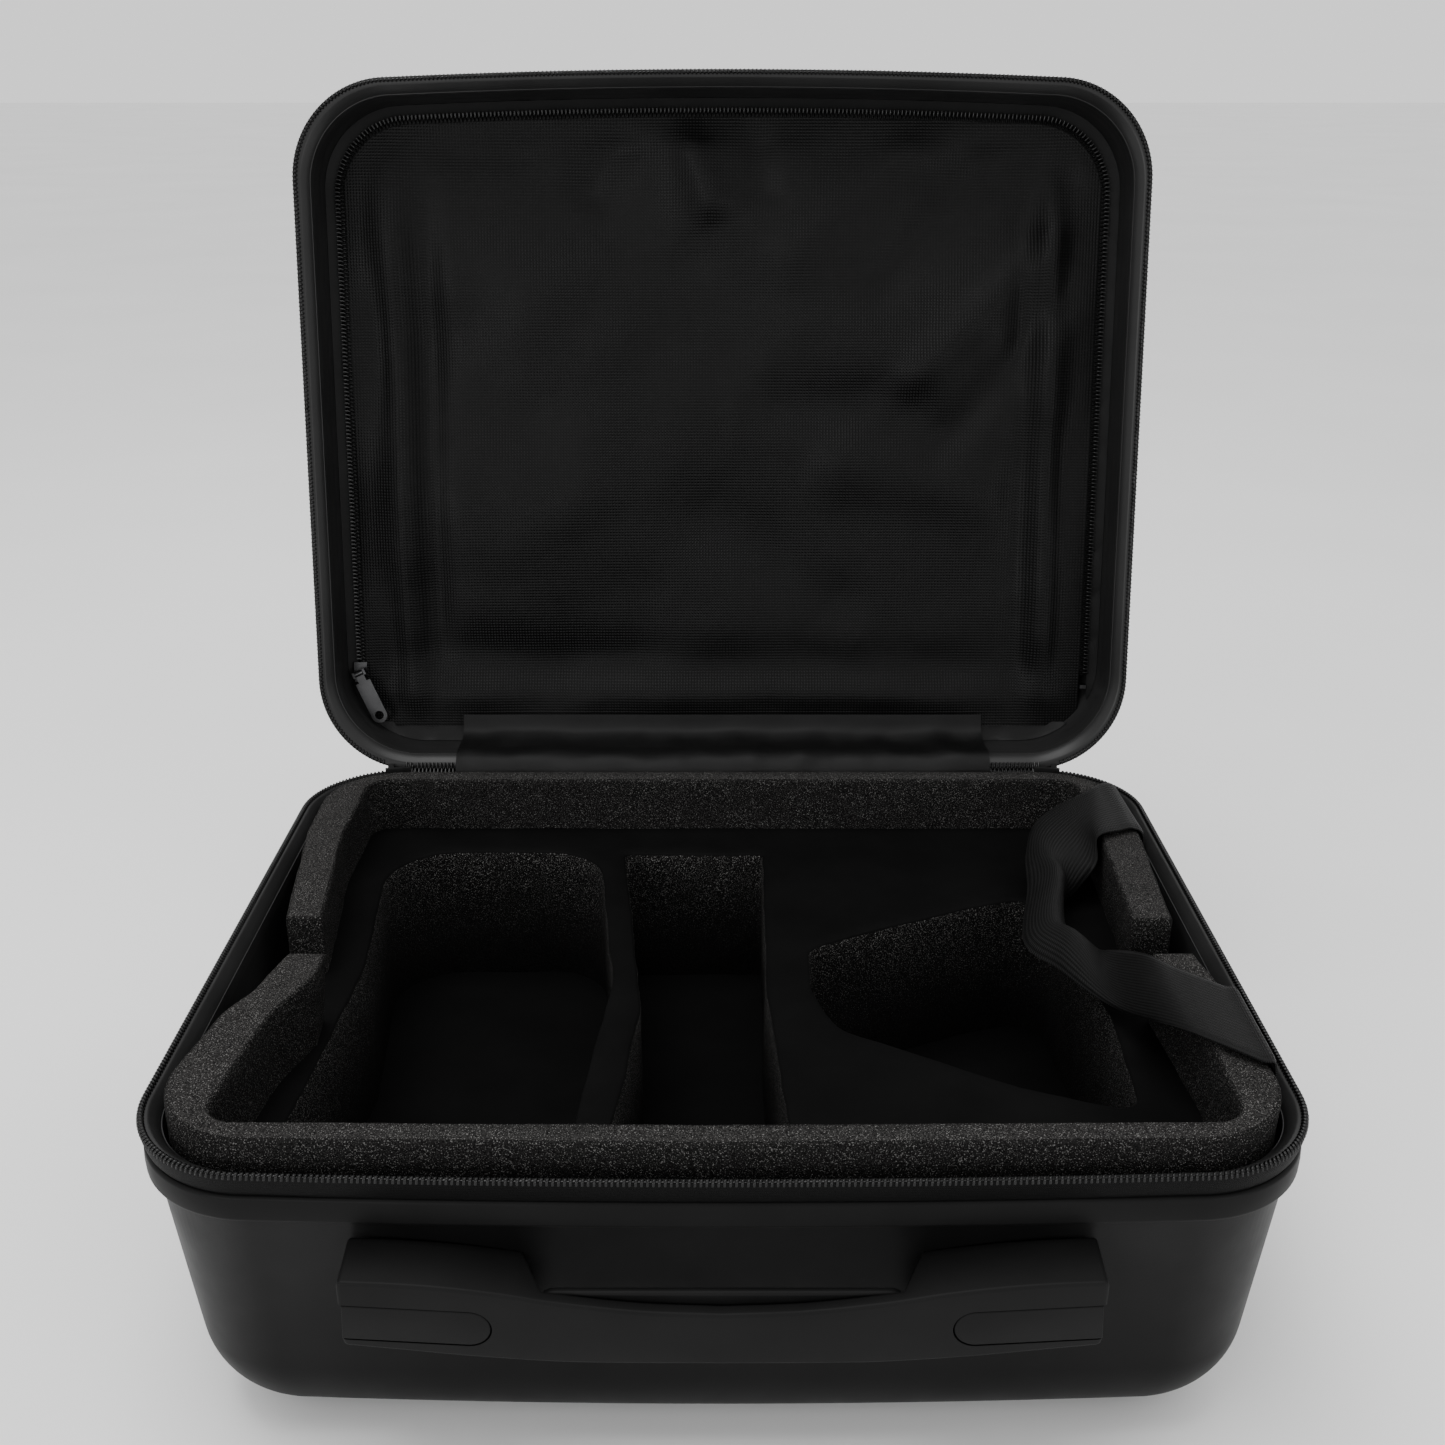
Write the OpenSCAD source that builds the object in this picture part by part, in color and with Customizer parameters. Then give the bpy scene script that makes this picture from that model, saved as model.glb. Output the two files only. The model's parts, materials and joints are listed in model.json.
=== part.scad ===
// Hard-shell carrying case: moulded lower shell and lid joined by a zip, foam insert, carry handle.
// Origin: centre of the lower shell's flat underside. +Z up, -Y towards the handle, lid shown open.

/* [Case] */
// Width across the zip rim
case_w = 350; // [300:1:420]
// Depth across the zip rim
case_d = 290; // [250:1:340]
// Corner radius of the rim
corner_r = 40; // [38:1:60]
// How far the front edge bows out in the middle
front_bow = 3; // [0:0.5:4]
// Height of the lower shell, up to the zip's middle plane
body_h = 109; // [95:1:140]
// Depth of the lid, from the zip's middle plane
lid_h = 45; // [45:1:60]
// Thickness of the moulded shells
wall = 2.8; // [2:0.1:3.4]
// Draft of the moulded side walls, in degrees
draft = 6; // [2:0.5:8]
// Fillet between the lower shell's walls and its underside
bottom_r = 35; // [24:1:36]
// Fillet between the lid's walls and its outer face
lid_r = 26; // [20:1:26]
// How far the open lid leans back past vertical, in degrees
lid_lean = 9.4; // [0:0.1:20]

/* [Foam] */
// Height of the foam collar's front piece above the zip plane
collar_rise_front = 6; // [0:1:8]
// Height of the foam collar's rear piece above the zip plane
collar_rise_rear = 2; // [0:1:8]
// Depth of the tray above the foam block, measured down from the zip plane
tray_drop = 21; // [12:1:24]
// Depth of the bays cut through the foam block
bay_depth = 58; // [40:1:60]

/* [Handle] */
// Length of the handle
handle_w = 214; // [190:1:230]
// Height of the handle's end blocks
end_h = 24.2; // [20:0.1:25]
// How far the handle stands off the wall
handle_depth = 19; // [16:0.5:20]
// Thickness of the grip bar
grip_t = 7.5; // [6:0.5:9]
// Height of the handle's middle above the underside
handle_z = 71; // [64:1:73]
// Outward travel of the handle
handle_travel = 10; // [6:1:10]

/* [Zip] */
// Centre of the zip teeth, in from the outer rim
teeth_in = 1.3; // [1:0.1:2]
// Thickness of the zip tape
tape_t = 0.9; // [0.6:0.1:1]
// Depth of the lid lining behind the zip plane
lining_drop = 27; // [24:1:28]
// Centre of the lining zip, in from the outer rim
lining_in = 13.5; // [13.5:0.5:16]

/* [Hidden] */
$fn = 48;

// Shell section, as distance down from the zip plane (u) and distance in from the rim (e)
shell_top_u = 5;
neck_e = 3;
band_e = 1.2;
band_u0 = 8.6;
band_u1 = 17.2;
wall_e = 4;
wall_u = 17.8;
inner_e = wall_e + wall / cos(draft);
arc_n = 14;                       // segments in a quarter corner
bow_n = 8;                        // segments along the bowed front edge
corner_gain = 0.7;                // how fast a corner tightens as the outline moves in
hinge_y = case_d / 2 - teeth_in;  // the lid turns about the rear teeth
open_angle = 90 + lid_lean;

// Zip
teeth_r = 1.7;                    // the meshed chain
row_h = 1.8;                      // one row of teeth
row_w = 2.4;
tape_u0 = 2.1;
tape_u1 = 8.3;
teeth_arc = corner_r - corner_gain * teeth_in;
teeth_cx = case_w / 2 - teeth_in - teeth_arc;
teeth_cy = case_d / 2 - teeth_in - teeth_arc;
slider_turn = 10;                 // where the sliders sit, in degrees round the rear corners
rear_gap_y = teeth_cy + teeth_arc * cos(slider_turn + 14);   // the rows end here, at the sliders
slider_len = 11;

// Foam
block_in = 14;                    // foam block, in from the rim
collar_r = 31;                    // outer corner radius of the foam collar
tray_z = body_h - tray_drop;
bay_z = tray_z - bay_depth;

// Handle, in a frame on the front wall: x along the case, -y outwards, z up the wall
tongue_h = 12.7;
tongue_z = -0.9;                  // middle of the tongue, at the anchor
tongue_tilt = 4.2;                // the tongues drop towards the middle, in degrees
cap_t = 4;
neck_len = 27;
neck_h = 7.6;
screw_x = [-7.5, 7.5];            // screw places along each anchor, from its middle
screw_r = 2;
anchor_x = handle_w / 2 - 20.5;
fit = 0.3;                        // clearance of the sliding end blocks
seat = 0.4;                       // the anchors' gap to the bowed wall
plate_y = 3.55;                   // the plates' near face, past the wall's outside
plate_t = 1.5;
screw_len = 9;                    // how far the screws reach into the anchors
spring_len = 120;                 // the spring strip in the grip
spring_h = 8;
spring_t = 0.8;
spring_z = -6.5;

// Pull tabs
pin_r = 0.75;
pin_fit = 0.08;
pin_out = 4.6;                    // pin, outwards from the teeth
pin_drop = 2.5;                   // pin, below the zip plane
tab_t = 1.8;

lining_slider_y = hinge_y - 38;   // the lining slider's place in the closed lid
lining_end = 8.5;                 // how far the lining zip runs straight past its slider
lining_pin_u = lining_drop - 5.4; // the lining slider's pin, down from the zip plane
lining_tilt = -24;                // the lining pull hangs askew, in degrees

// Points of a path whose corners are rounded; each point is [x, y, radius]
function unit(v) = v / norm(v);
function corner(a, b, c) =
    let (p = [a.x, a.y], q = [b.x, b.y], s = [c.x, c.y],
         u = unit(p - q), v = unit(s - q),
         half = acos(max(-1, min(1, u * v))) / 2,
         reach = b.z / tan(half), centre = q + unit(u + v) * b.z / sin(half),
         from = q + u * reach - centre, to = q + v * reach - centre,
         a0 = atan2(from.y, from.x), turn = atan2(from.x * to.y - from.y * to.x, from * to),
         n = max(2, ceil(abs(turn) / 9)))
    b.z == 0 ? [q] : [for (i = [0:n]) centre + b.z * [cos(a0 + turn * i / n), sin(a0 + turn * i / n)]];
function rounded(pts) = [for (i = [0:len(pts) - 1])
    each corner(pts[(i + len(pts) - 1) % len(pts)], pts[i], pts[(i + 1) % len(pts)])];

// Rim outline moved in by e: three plain corners, then the bowed front edge and the last corner
function rim_corner(e, quarter) =
    let (r = corner_r - corner_gain * e, x = case_w / 2 - e - r, y = case_d / 2 - e - r)
    [for (i = [0:arc_n])
        let (a = 90 * quarter + 90 * i / arc_n)
        [(quarter == 0 || quarter == 3 ? x : -x) + r * cos(a),
         (quarter < 2 ? y : front_bow - y) + r * sin(a)]];
function rim_points(e) =
    let (half = case_w / 2 - e - corner_r + corner_gain * e)
    concat(rim_corner(e, 0), rim_corner(e, 1), rim_corner(e, 2),
        [for (i = [1:bow_n - 1])
            let (s = 2 * i / bow_n - 1) [s * half, e - case_d / 2 + front_bow * s * s]],
        rim_corner(e, 3));

module rim_shape(e) {
    polygon(rim_points(e));
}

// A flat ring between two insets
module rim_ring(e0, e1, h) {
    linear_extrude(h)
        difference() {
            rim_shape(e0);
            rim_shape(e1);
        }
}

// A solid lofted through rim outlines; each place in the section is [inset, height]
module loft(section) {
    rings = [for (p = section) [for (q = rim_points(p.x)) [q.x, q.y, p.y]]];
    m = len(rings[0]);
    last = len(section) - 1;
    sides = [for (k = [0:last - 1], i = [0:m - 1])
        [k * m + i, (k + 1) * m + i, (k + 1) * m + (i + 1) % m, k * m + (i + 1) % m]];
    first_cap = [[for (i = [0:m - 1]) i]];
    last_cap = [[for (i = [0:m - 1]) last * m + m - 1 - i]];
    polyhedron([for (ring = rings) each ring], concat(sides, first_cap, last_cap), convexity = 6);
}

function fillet(e, u, r, a0, a1, n) = [for (i = [0:n])
    let (a = a0 + (a1 - a0) * i / n) [e - r * cos(a), u + r * sin(a)]];

// Section of a shell of height h with floor fillet r, from the floor up the outside and down the inside
function shell_section(h, r) =
    let (e = wall_e + (h - r - wall_u) * tan(draft) + r / cos(draft))
    concat(fillet(e, h - r, r, 90, draft, 7),
        [[wall_e, wall_u], [band_e + 0.5, band_u1], [band_e, band_u1 - 0.8],
         [band_e, band_u0 + 0.8], [band_e + 0.5, band_u0], [neck_e, band_u0 - 0.3],
         [neck_e, shell_top_u], [inner_e, shell_top_u], [inner_e, wall_u]],
        fillet(e, h - r, r - wall, draft, 90, 7));

// A shell with its mouth at z = 0 and its floor at z = -h
module shell(h, r) {
    loft([for (p = shell_section(h, r)) [p.x, -p.y]]);
}

// Carries the closed lid to its open place
module open_lid() {
    translate([0, hinge_y, body_h]) rotate([-open_angle, 0, 0]) translate([0, -hinge_y, -body_h])
        children();
}

// Turns a half built down from the zip plane into the lid's half
module lid_half() {
    open_lid() translate([0, 0, body_h]) mirror([0, 0, 1]) children();
}

// The frame of the handle on the drafted front wall
module on_front_wall() {
    bow = front_bow * pow(anchor_x / teeth_cx, 2);
    wall_y = case_d / 2 - bow - wall_e - (body_h - wall_u - handle_z) * tan(draft);
    translate([0, -wall_y, handle_z]) rotate([draft, 0, 0]) children();
}

// ---- lower half -------------------------------------------------------------------------------

module base_shell() {
    color("#1a1a1b")
        difference() {
            translate([0, 0, body_h]) shell(body_h, bottom_r);
            on_front_wall()
                for (side = [-1, 1], x = screw_x)
                    translate([side * anchor_x + x, -1, tongue_z]) rotate([-90, 0, 0])
                        cylinder(r = screw_r + 0.3, h = wall + 3);
        }
}

module zip_tape() {
    translate([0, 0, -tape_u1]) rim_ring(neck_e - tape_t - 0.05, neck_e - 0.05, tape_u1 - tape_u0);
}

// One row of teeth round the front and sides, open at the back
module zip_row() {
    translate([0, 0, -row_h - 0.2])
        difference() {
            rim_ring(teeth_in - row_w / 2, teeth_in + row_w / 2, row_h);
            translate([0, rear_gap_y + 50, 0]) cube([case_w + 2, 100, 20], center = true);
        }
}

module hinge_zip_teeth() {
    color("#101011")
        translate([-teeth_cx, hinge_y, body_h]) rotate([0, 90, 0])
            cylinder(r = teeth_r, h = 2 * teeth_cx);
}

module foam_base_layer() {
    color("#2a292a")
        loft([[46, wall + 0.4], [29, 8.5], [21, 16], [15.5, 27], [15, bay_z]]);
}

goggles_bay = rounded([[-139, 104, 27], [-51.5, 105, 25], [-39.5, 0, 90], [-48.5, -103, 14],
    [-138, -103, 16], [-131, 10, 90]]);
battery_bay = rounded([[-40.5, 102, 3], [16.5, 102, 3], [15.5, -9, 12], [21.5, -100, 6],
    [-35.5, -100, 6], [-28.5, -21, 20]]);
drone_bay = rounded([[32, 23, 9], [96, 55, 20], [128, 66, 14], [135, -26, 20], [133, -82, 6],
    [96, -67, 20], [40, -33, 16], [32, -7, 9]]);

module foam_block() {
    color("#262526")
        translate([0, 0, bay_z + 0.05]) linear_extrude(bay_depth - 0.05)
            difference() {
                rim_shape(block_in);
                polygon(goggles_bay);
                polygon(battery_bay);
                polygon(drone_bay);
            }
}

front_collar = rounded([[-151.5, -28, 1], [-154.5, -52, 6], [-160, -66, 20], [-166, -100, 20],
    [-166, -133.5, collar_r], [0, -136, 400], [166, -133.5, collar_r], [166, -66, 60],
    [161.5, -28, 1], [147.5, -28, 1], [151, -80, 60], [151, -124.5, 9], [0, -126.5, 400],
    [-151, -124.5, 9], [-144, -66, 30], [-137, -44, 6], [-138, -28, 1]]);
rear_collar = rounded([[-157, 4, 1], [-166, 75, 90], [-166, 136, collar_r], [166, 136, collar_r],
    [166, 75, 90], [161.5, 3, 1], [147, 3, 1], [150, 75, 60], [150, 126.5, 9], [-150, 126.5, 9],
    [-151, 75, 60], [-144, 4, 1]]);

module foam_collar(outline, rise) {
    color("#3a3836")
        translate([0, 0, tray_z + 0.05]) linear_extrude(tray_drop + rise - 0.05) polygon(outline);
}

// Webbing strap: places of its centre line above the zip plane, each with the direction of its width
strap_w = 44;
strap_t = 1.4;
strap_path = [
    [[162.3, 96.5, 3.3], [0, 1, 0]],
    [[158, 94, 4.2], [0, 1, 0]],
    [[149, 86, 4.7], [0.1, 1, 0]],
    [[137, 75, -3], [-0.47, 0.88, 0.1]],
    [[129, 62, -9], [-0.6, 0.7, 0.3]],
    [[124, 48, -12], [-0.8, 0.4, 0.4]],
    [[120.5, 17, -17], [-0.95, 0.15, 0.2]],
    [[127, 2, -15], [-0.7, -0.7, 0.1]],
    [[137, -17, -11], [-0.1, -1, -0.1]],
    [[143, -50, 5], [0, -1, -0.05]],
    [[150, -64, 8.3], [0, -1, 0]],
    [[162.5, -76, 8.5], [0, -1, 0]],
    [[166.9, -77, 6.5], [0, -1, 0]],
    [[166.9, -77.5, -15], [0, -1, 0]]];
strap_spread = [1, 1, 1, 0.75, 0.5, 0.3, 0.4, 0.4, 0.75, 0.97, 1, 1, 1, 1];

module strap_slat(i) {
    across = unit(strap_path[i][1]) * strap_w / 2 * strap_spread[i];
    hull()
        for (s = [-1, 1])
            translate(strap_path[i][0] + s * across + [0, 0, body_h]) sphere(d = strap_t, $fn = 8);
}

module lift_strap() {
    color("#18181a")
        union()
            for (i = [0:len(strap_path) - 2])
                hull() {
                    strap_slat(i);
                    strap_slat(i + 1);
                }
}

// Lining strip over the hinge, glued inside the lower shell and inside the lid
flap_w = 232;
flap_t = 0.7;
flap_drop = 12;                   // how far it reaches below the zip plane in the lower shell
flap_rise = lining_drop - 8;      // how far it reaches into the lid
flap_gap = 1;                     // kept clear of the zip plane by each strip

module flap_strip(h) {
    translate([-flap_w / 2, case_d / 2 - inner_e - 0.25 - flap_t, 0]) cube([flap_w, flap_t, h]);
}

module hinge_flap_base() {
    color("#1c1c1e") translate([0, 0, body_h - flap_drop]) flap_strip(flap_drop - flap_gap);
}

module hinge_flap_lid() {
    color("#1c1c1e") open_lid() translate([0, 0, body_h + flap_gap]) flap_strip(flap_rise - flap_gap);
}

// ---- handle -----------------------------------------------------------------------------------

// Tongue seen from the front: round at its inner end, open at the outer end
module tongue_shape(side, grow) {
    r = tongue_h / 2 + grow;
    inner = tongue_h / 2 - 21.5;
    translate([side * anchor_x, tongue_z]) rotate(side * tongue_tilt) scale([side, 1]) {
        translate([inner, 0]) circle(r);
        translate([inner, -r]) square([40 - inner, 2 * r]);
    }
}

module handle_anchor(side) {
    color("#1f1f21")
        on_front_wall()
            difference() {
                union() {
                    translate([0, -handle_depth + cap_t, 0]) rotate([90, 0, 0])
                        linear_extrude(cap_t)
                            intersection() {
                                tongue_shape(side, 0);
                                square([handle_w, 3 * tongue_h], center = true);
                            }
                    translate([side * anchor_x, -(handle_depth - 1 + seat) / 2, tongue_z])
                        cube([neck_len, handle_depth - 1 - seat, neck_h], center = true);
                }
                for (x = screw_x)
                    translate([side * anchor_x + x, -screw_len - 1, tongue_z]) rotate([-90, 0, 0])
                        cylinder(r = screw_r, h = screw_len + 2);
            }
}

module handle_plate(side) {
    color("silver")
        on_front_wall()
            difference() {
                translate([side * anchor_x, plate_y + plate_t / 2, tongue_z])
                    cube([36, plate_t, 16], center = true);
                for (x = screw_x)
                    translate([side * anchor_x + x, wall, tongue_z]) rotate([-90, 0, 0])
                        cylinder(r = screw_r + 0.3, h = 4);
            }
}

module handle_screws() {
    color("dimgray")
        on_front_wall()
            for (side = [-1, 1], x = screw_x)
                translate([side * anchor_x + x, plate_y + plate_t + 0.05, tongue_z])
                    rotate([-90, 0, 0]) {
                        translate([0, 0, -screw_len - plate_y - plate_t])
                            cylinder(r = screw_r - 0.02, h = screw_len + plate_y + plate_t);
                        cylinder(r = 3.6, h = 1.6);
                    }
}

// Front outline of the grip: its top edge dips and its bottom edge bows in the middle
end_top = 15.5;
block_len = 50;                   // each end block, along the handle
grip_outline = rounded([[-107, end_top, 3], [-77, end_top - 2, 60], [-46, 7, 60], [0, 2.7, 160],
    [46, 7, 60], [77, end_top - 2, 60], [107, end_top, 3], [107, end_top - end_h, 3],
    [45, -16.3, 200], [-45, -16.3, 200], [-107, end_top - end_h, 3]]);

module grip_shape() {
    polygon([for (p = grip_outline) [p.x * handle_w / 214, p.y]]);
}

module handle_grip() {
    color("#1e1e20")
        on_front_wall()
            difference() {
                union() {
                    translate([0, -handle_depth + grip_t, 0]) rotate([90, 0, 0])
                        linear_extrude(grip_t) grip_shape();
                    translate([0, -1, 0]) rotate([90, 0, 0])
                        linear_extrude(handle_depth - 1)
                            difference() {
                                grip_shape();
                                square([handle_w - 2 * block_len, 2 * end_h], center = true);
                            }
                }
                for (side = [-1, 1]) {
                    translate([0, -handle_depth + cap_t + handle_travel, 0]) rotate([90, 0, 0])
                        linear_extrude(cap_t + handle_travel + 1) tongue_shape(side, fit);
                    translate([side * anchor_x, -handle_depth / 2, tongue_z])
                        cube([neck_len + 2 * fit, 2 * handle_depth, neck_h + 2 * fit], center = true);
                }
                translate([0, -handle_depth + grip_t / 2, spring_z])
                    cube([spring_len + 0.4, spring_t + 0.4, spring_h + 0.4], center = true);
            }
}

module grip_spring_strip() {
    color("lightslategray")
        on_front_wall()
            translate([0, -handle_depth + grip_t / 2, spring_z])
                cube([spring_len, spring_t, spring_h], center = true);
}

// ---- sliders and pulls ------------------------------------------------------------------------

// A place on the rim's rear corner: x along the rim, y outwards
module at_rear_corner(side) {
    translate([side * teeth_cx, teeth_cy, body_h]) rotate([0, 0, -side * slider_turn])
        translate([0, teeth_arc, 0]) children();
}

module lug_pair(y0, y1) {
    for (x = [-2.8, 2.8])
        translate([x - 0.6, y0, -1.3]) cube([1.2, y1 - y0, 2.6]);
    translate([-3.4, (y0 + y1) / 2, 0]) rotate([0, 90, 0]) cylinder(r = pin_r, h = 6.8);
}

module main_slider(side) {
    color("#161617")
        at_rear_corner(side) {
            translate([-slider_len / 2, 1.5, -7]) cube([slider_len, 1.5, 6.3]);
            translate([-slider_len / 2, -3.8, -4.7]) cube([slider_len, 1.5, 6.5]);
            translate([side * 3.2 - 1.2, -2.5, -1.7]) cube([2.4, 4.5, 3.4]);
            translate([0, 0, -pin_drop]) lug_pair(2.9, 2 * pin_out - 2.9);
        }
}

// A pull tab hanging down from its pin at the origin, flat side along y
module pull_tab(length, width) {
    difference() {
        union() {
            rotate([0, 90, 0]) translate([0, 0, -1.9]) cylinder(r = tab_t / 2 + 0.45, h = 3.8);
            translate([-1.9, -tab_t / 2, -5]) cube([3.8, tab_t, 5]);
            translate([-width / 2, -tab_t / 2, -length + width / 2])
                cube([width, tab_t, length - width / 2 - 4]);
            translate([0, tab_t / 2, -length + width / 2]) rotate([90, 0, 0])
                cylinder(d = width, h = tab_t);
        }
        rotate([0, 90, 0]) translate([0, 0, -3]) cylinder(r = pin_r + pin_fit, h = 6);
        translate([0, tab_t, -length + width / 2]) rotate([90, 0, 0])
            cylinder(d = width * 0.56, h = 2 * tab_t);
    }
}

module main_pull(side) {
    color("#242427")
        at_rear_corner(side) translate([0, pin_out, -pin_drop]) pull_tab(26, 7);
}

// ---- lid --------------------------------------------------------------------------------------

module lid_shell() {
    color("#1a1a1b") lid_half() shell(lid_h, lid_r);
}

// Outline of the lining zip moved in by e: the rim's outline, with its sides straight to the slider
module lining_shape(e) {
    rim_shape(e);
    translate([e - case_w / 2, 0]) square([case_w - 2 * e, lining_slider_y + lining_end]);
}

module lining_ring(e0, e1, h) {
    linear_extrude(h)
        difference() {
            lining_shape(e0);
            lining_shape(e1);
        }
}

module lining_border() {
    color("#141415")
        lid_half() translate([0, 0, -lining_drop - 1]) linear_extrude(1)
            difference() {
                rim_shape(9.2);
                lining_shape(lining_in - 1.7);
            }
}

// Two rows with a gap between them for the slider's wedge
module lining_zip_teeth() {
    color("#101011")
        lid_half() translate([0, 0, -lining_drop - 1.4])
            difference() {
                union() {
                    lining_ring(lining_in - 1.5, lining_in - 0.35, 1.8);
                    lining_ring(lining_in + 0.35, lining_in + 1.5, 1.8);
                }
                translate([0, lining_slider_y + 52, 0]) cube([case_w, 100, 20], center = true);
            }
}

module lining_zip_stops() {
    color("gray")
        lid_half()
            for (side = [-1, 1])
                translate([side * (case_w / 2 - lining_in) - 1.4, lining_slider_y + 6.2, -lining_drop - 1.2])
                    cube([2.8, 1.6, 1.8]);
}

module lining_panel() {
    color("#1b1b1d")
        lid_half() translate([0, 0, -lining_drop - 1.2]) linear_extrude(1.2) lining_shape(lining_in + 1.8);
}

module at_lining_zip() {
    lid_half() translate([-case_w / 2 + lining_in, lining_slider_y, 0]) children();
}

module lining_slider() {
    color("#3b3b3e")
        at_lining_zip() {
            translate([-2.9, -4.5, -lining_drop + 0.7]) cube([5.8, 9, 1.3]);
            translate([-2.5, -4, -lining_drop - 3]) cube([5, 8, 1.3]);
            translate([-0.25, -4.2, -lining_drop - 2]) cube([0.5, 2.2, 3]);
            translate([0, 0, -lining_pin_u]) rotate([0, 0, lining_tilt]) {
                for (x = [-2.5, 2.5])
                    translate([x - 0.5, -1.3, -3.6]) cube([1, 2.6, 4.6]);
                translate([-3, 0, 0]) rotate([0, 90, 0]) cylinder(r = pin_r, h = 6);
            }
        }
}

module lining_pull() {
    color("#46464a")
        at_lining_zip() translate([0, 0, -lining_pin_u]) rotate([0, 0, lining_tilt])
            rotate([90, 0, 0]) pull_tab(24, 7);
}

base_shell();
color("#131314") translate([0, 0, body_h]) zip_tape();  // base_zip_tape
color("#0e0e0f") translate([0, 0, body_h]) zip_row();  // base_zip_teeth
hinge_zip_teeth();
foam_base_layer();
foam_block();
foam_collar(front_collar, collar_rise_front);  // foam_collar_front
foam_collar(rear_collar, collar_rise_rear);  // foam_collar_rear
lift_strap();
hinge_flap_base();
handle_anchor(-1);  // handle_anchor_left
handle_anchor(1);  // handle_anchor_right
handle_plate(-1);  // handle_plate_left
handle_plate(1);  // handle_plate_right
handle_screws();
main_slider(-1);  // slider_left
main_slider(1);  // slider_right
main_pull(-1);  // pull_left
main_pull(1);  // pull_right
handle_grip();
grip_spring_strip();
lid_shell();
color("#131314") lid_half() zip_tape();  // lid_zip_tape
color("#0e0e0f") lid_half() zip_row();  // lid_zip_teeth
hinge_flap_lid();
lining_border();
lining_zip_teeth();
lining_zip_stops();
lining_panel();
lining_slider();
lining_pull();
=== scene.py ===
# Studio scene of an open hard-shell carrying case: zip, foam insert, webbing, lid lining, handle.
import json
import math
import bpy
import bmesh
import numpy as np
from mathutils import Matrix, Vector, geometry, noise

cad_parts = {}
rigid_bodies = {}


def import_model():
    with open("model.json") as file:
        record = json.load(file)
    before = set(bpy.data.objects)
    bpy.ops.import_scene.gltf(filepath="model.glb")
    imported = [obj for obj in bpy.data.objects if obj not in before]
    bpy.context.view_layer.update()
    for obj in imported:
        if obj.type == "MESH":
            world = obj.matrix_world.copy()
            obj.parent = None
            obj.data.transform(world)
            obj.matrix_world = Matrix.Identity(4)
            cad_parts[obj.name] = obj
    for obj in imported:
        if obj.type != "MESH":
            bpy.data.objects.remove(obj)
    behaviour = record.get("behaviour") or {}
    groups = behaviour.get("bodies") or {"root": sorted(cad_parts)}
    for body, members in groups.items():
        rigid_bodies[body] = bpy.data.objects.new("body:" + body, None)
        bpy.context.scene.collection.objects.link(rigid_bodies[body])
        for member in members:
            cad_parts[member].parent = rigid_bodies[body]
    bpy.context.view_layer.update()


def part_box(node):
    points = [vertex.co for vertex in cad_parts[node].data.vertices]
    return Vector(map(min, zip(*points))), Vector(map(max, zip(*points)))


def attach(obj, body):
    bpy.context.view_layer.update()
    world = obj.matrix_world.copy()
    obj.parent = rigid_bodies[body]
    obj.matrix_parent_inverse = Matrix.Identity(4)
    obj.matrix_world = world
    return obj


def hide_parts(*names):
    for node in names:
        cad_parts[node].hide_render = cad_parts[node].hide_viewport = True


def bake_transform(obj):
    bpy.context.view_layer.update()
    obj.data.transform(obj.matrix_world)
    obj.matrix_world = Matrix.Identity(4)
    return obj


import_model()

# ---- sizes, in millimetres, as in the CAD model -----------------------------------------------

hinge_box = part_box("hinge_zip_teeth")
HINGE_Y = 500 * (hinge_box[0][1] + hinge_box[1][1])
ZIP_Z = 500 * (hinge_box[0][2] + hinge_box[1][2])
OPEN = math.radians(99.4)
CASE_W, CASE_D, CORNER_R, BOW, GAIN = 350, 290, 40, 3, 0.7
LID_H, WALL, BOTTOM_R, LID_R = 45, 2.8, 35, 26
DRAFT = math.radians(6)
BAND_E, WALL_E, NECK_E = 1.2, 4, 3
WALL_U = 17.8                      # where the wall starts, below the band
TEETH_IN = 1.3
TEETH_ARC = CORNER_R - GAIN * TEETH_IN
TEETH_CX = CASE_W / 2 - TEETH_IN - TEETH_ARC
TEETH_CY = CASE_D / 2 - TEETH_IN - TEETH_ARC
ANCHOR_X, HANDLE_Z = 86.5, 71
TRAY_Z, BAY_Z = ZIP_Z - 21, ZIP_Z - 79
LINING_DROP, LINING_IN, SLIDER_Y = 27, 13.5, HINGE_Y - 38
PITCH = 1.65


# ---- camera -----------------------------------------------------------------------------------

camera_data = bpy.data.cameras.new("camera")
camera_data.lens = 41.85
camera_data.sensor_width = 36
camera = bpy.data.objects.new("camera", camera_data)
camera.location = (0, -0.530, 0.4004)
camera.rotation_euler = (math.radians(68.17), 0, 0)
bpy.context.scene.collection.objects.link(camera)
bpy.context.scene.camera = camera


# ---- outlines and paths -----------------------------------------------------------------------

def rim(e, corner=24, bow=24):
    """The case's outline moved in by e, anticlockwise from the right-hand side."""
    r = CORNER_R - GAIN * e
    x = CASE_W / 2 - e - r
    y = CASE_D / 2 - e - r
    a = np.linspace(0, math.pi / 2, corner + 1)
    arcs = []
    for quarter, cx, cy in ((0, x, y), (1, -x, y), (2, -x, BOW - y), (3, x, BOW - y)):
        turn = a + quarter * math.pi / 2
        arcs.append(np.c_[cx + r * np.cos(turn), cy + r * np.sin(turn)])
    s = np.linspace(-1, 1, bow + 1)[1:-1]
    front = np.c_[s * x, e - CASE_D / 2 + BOW * s * s]
    return np.vstack(arcs[:3] + [front, arcs[3]])


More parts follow.
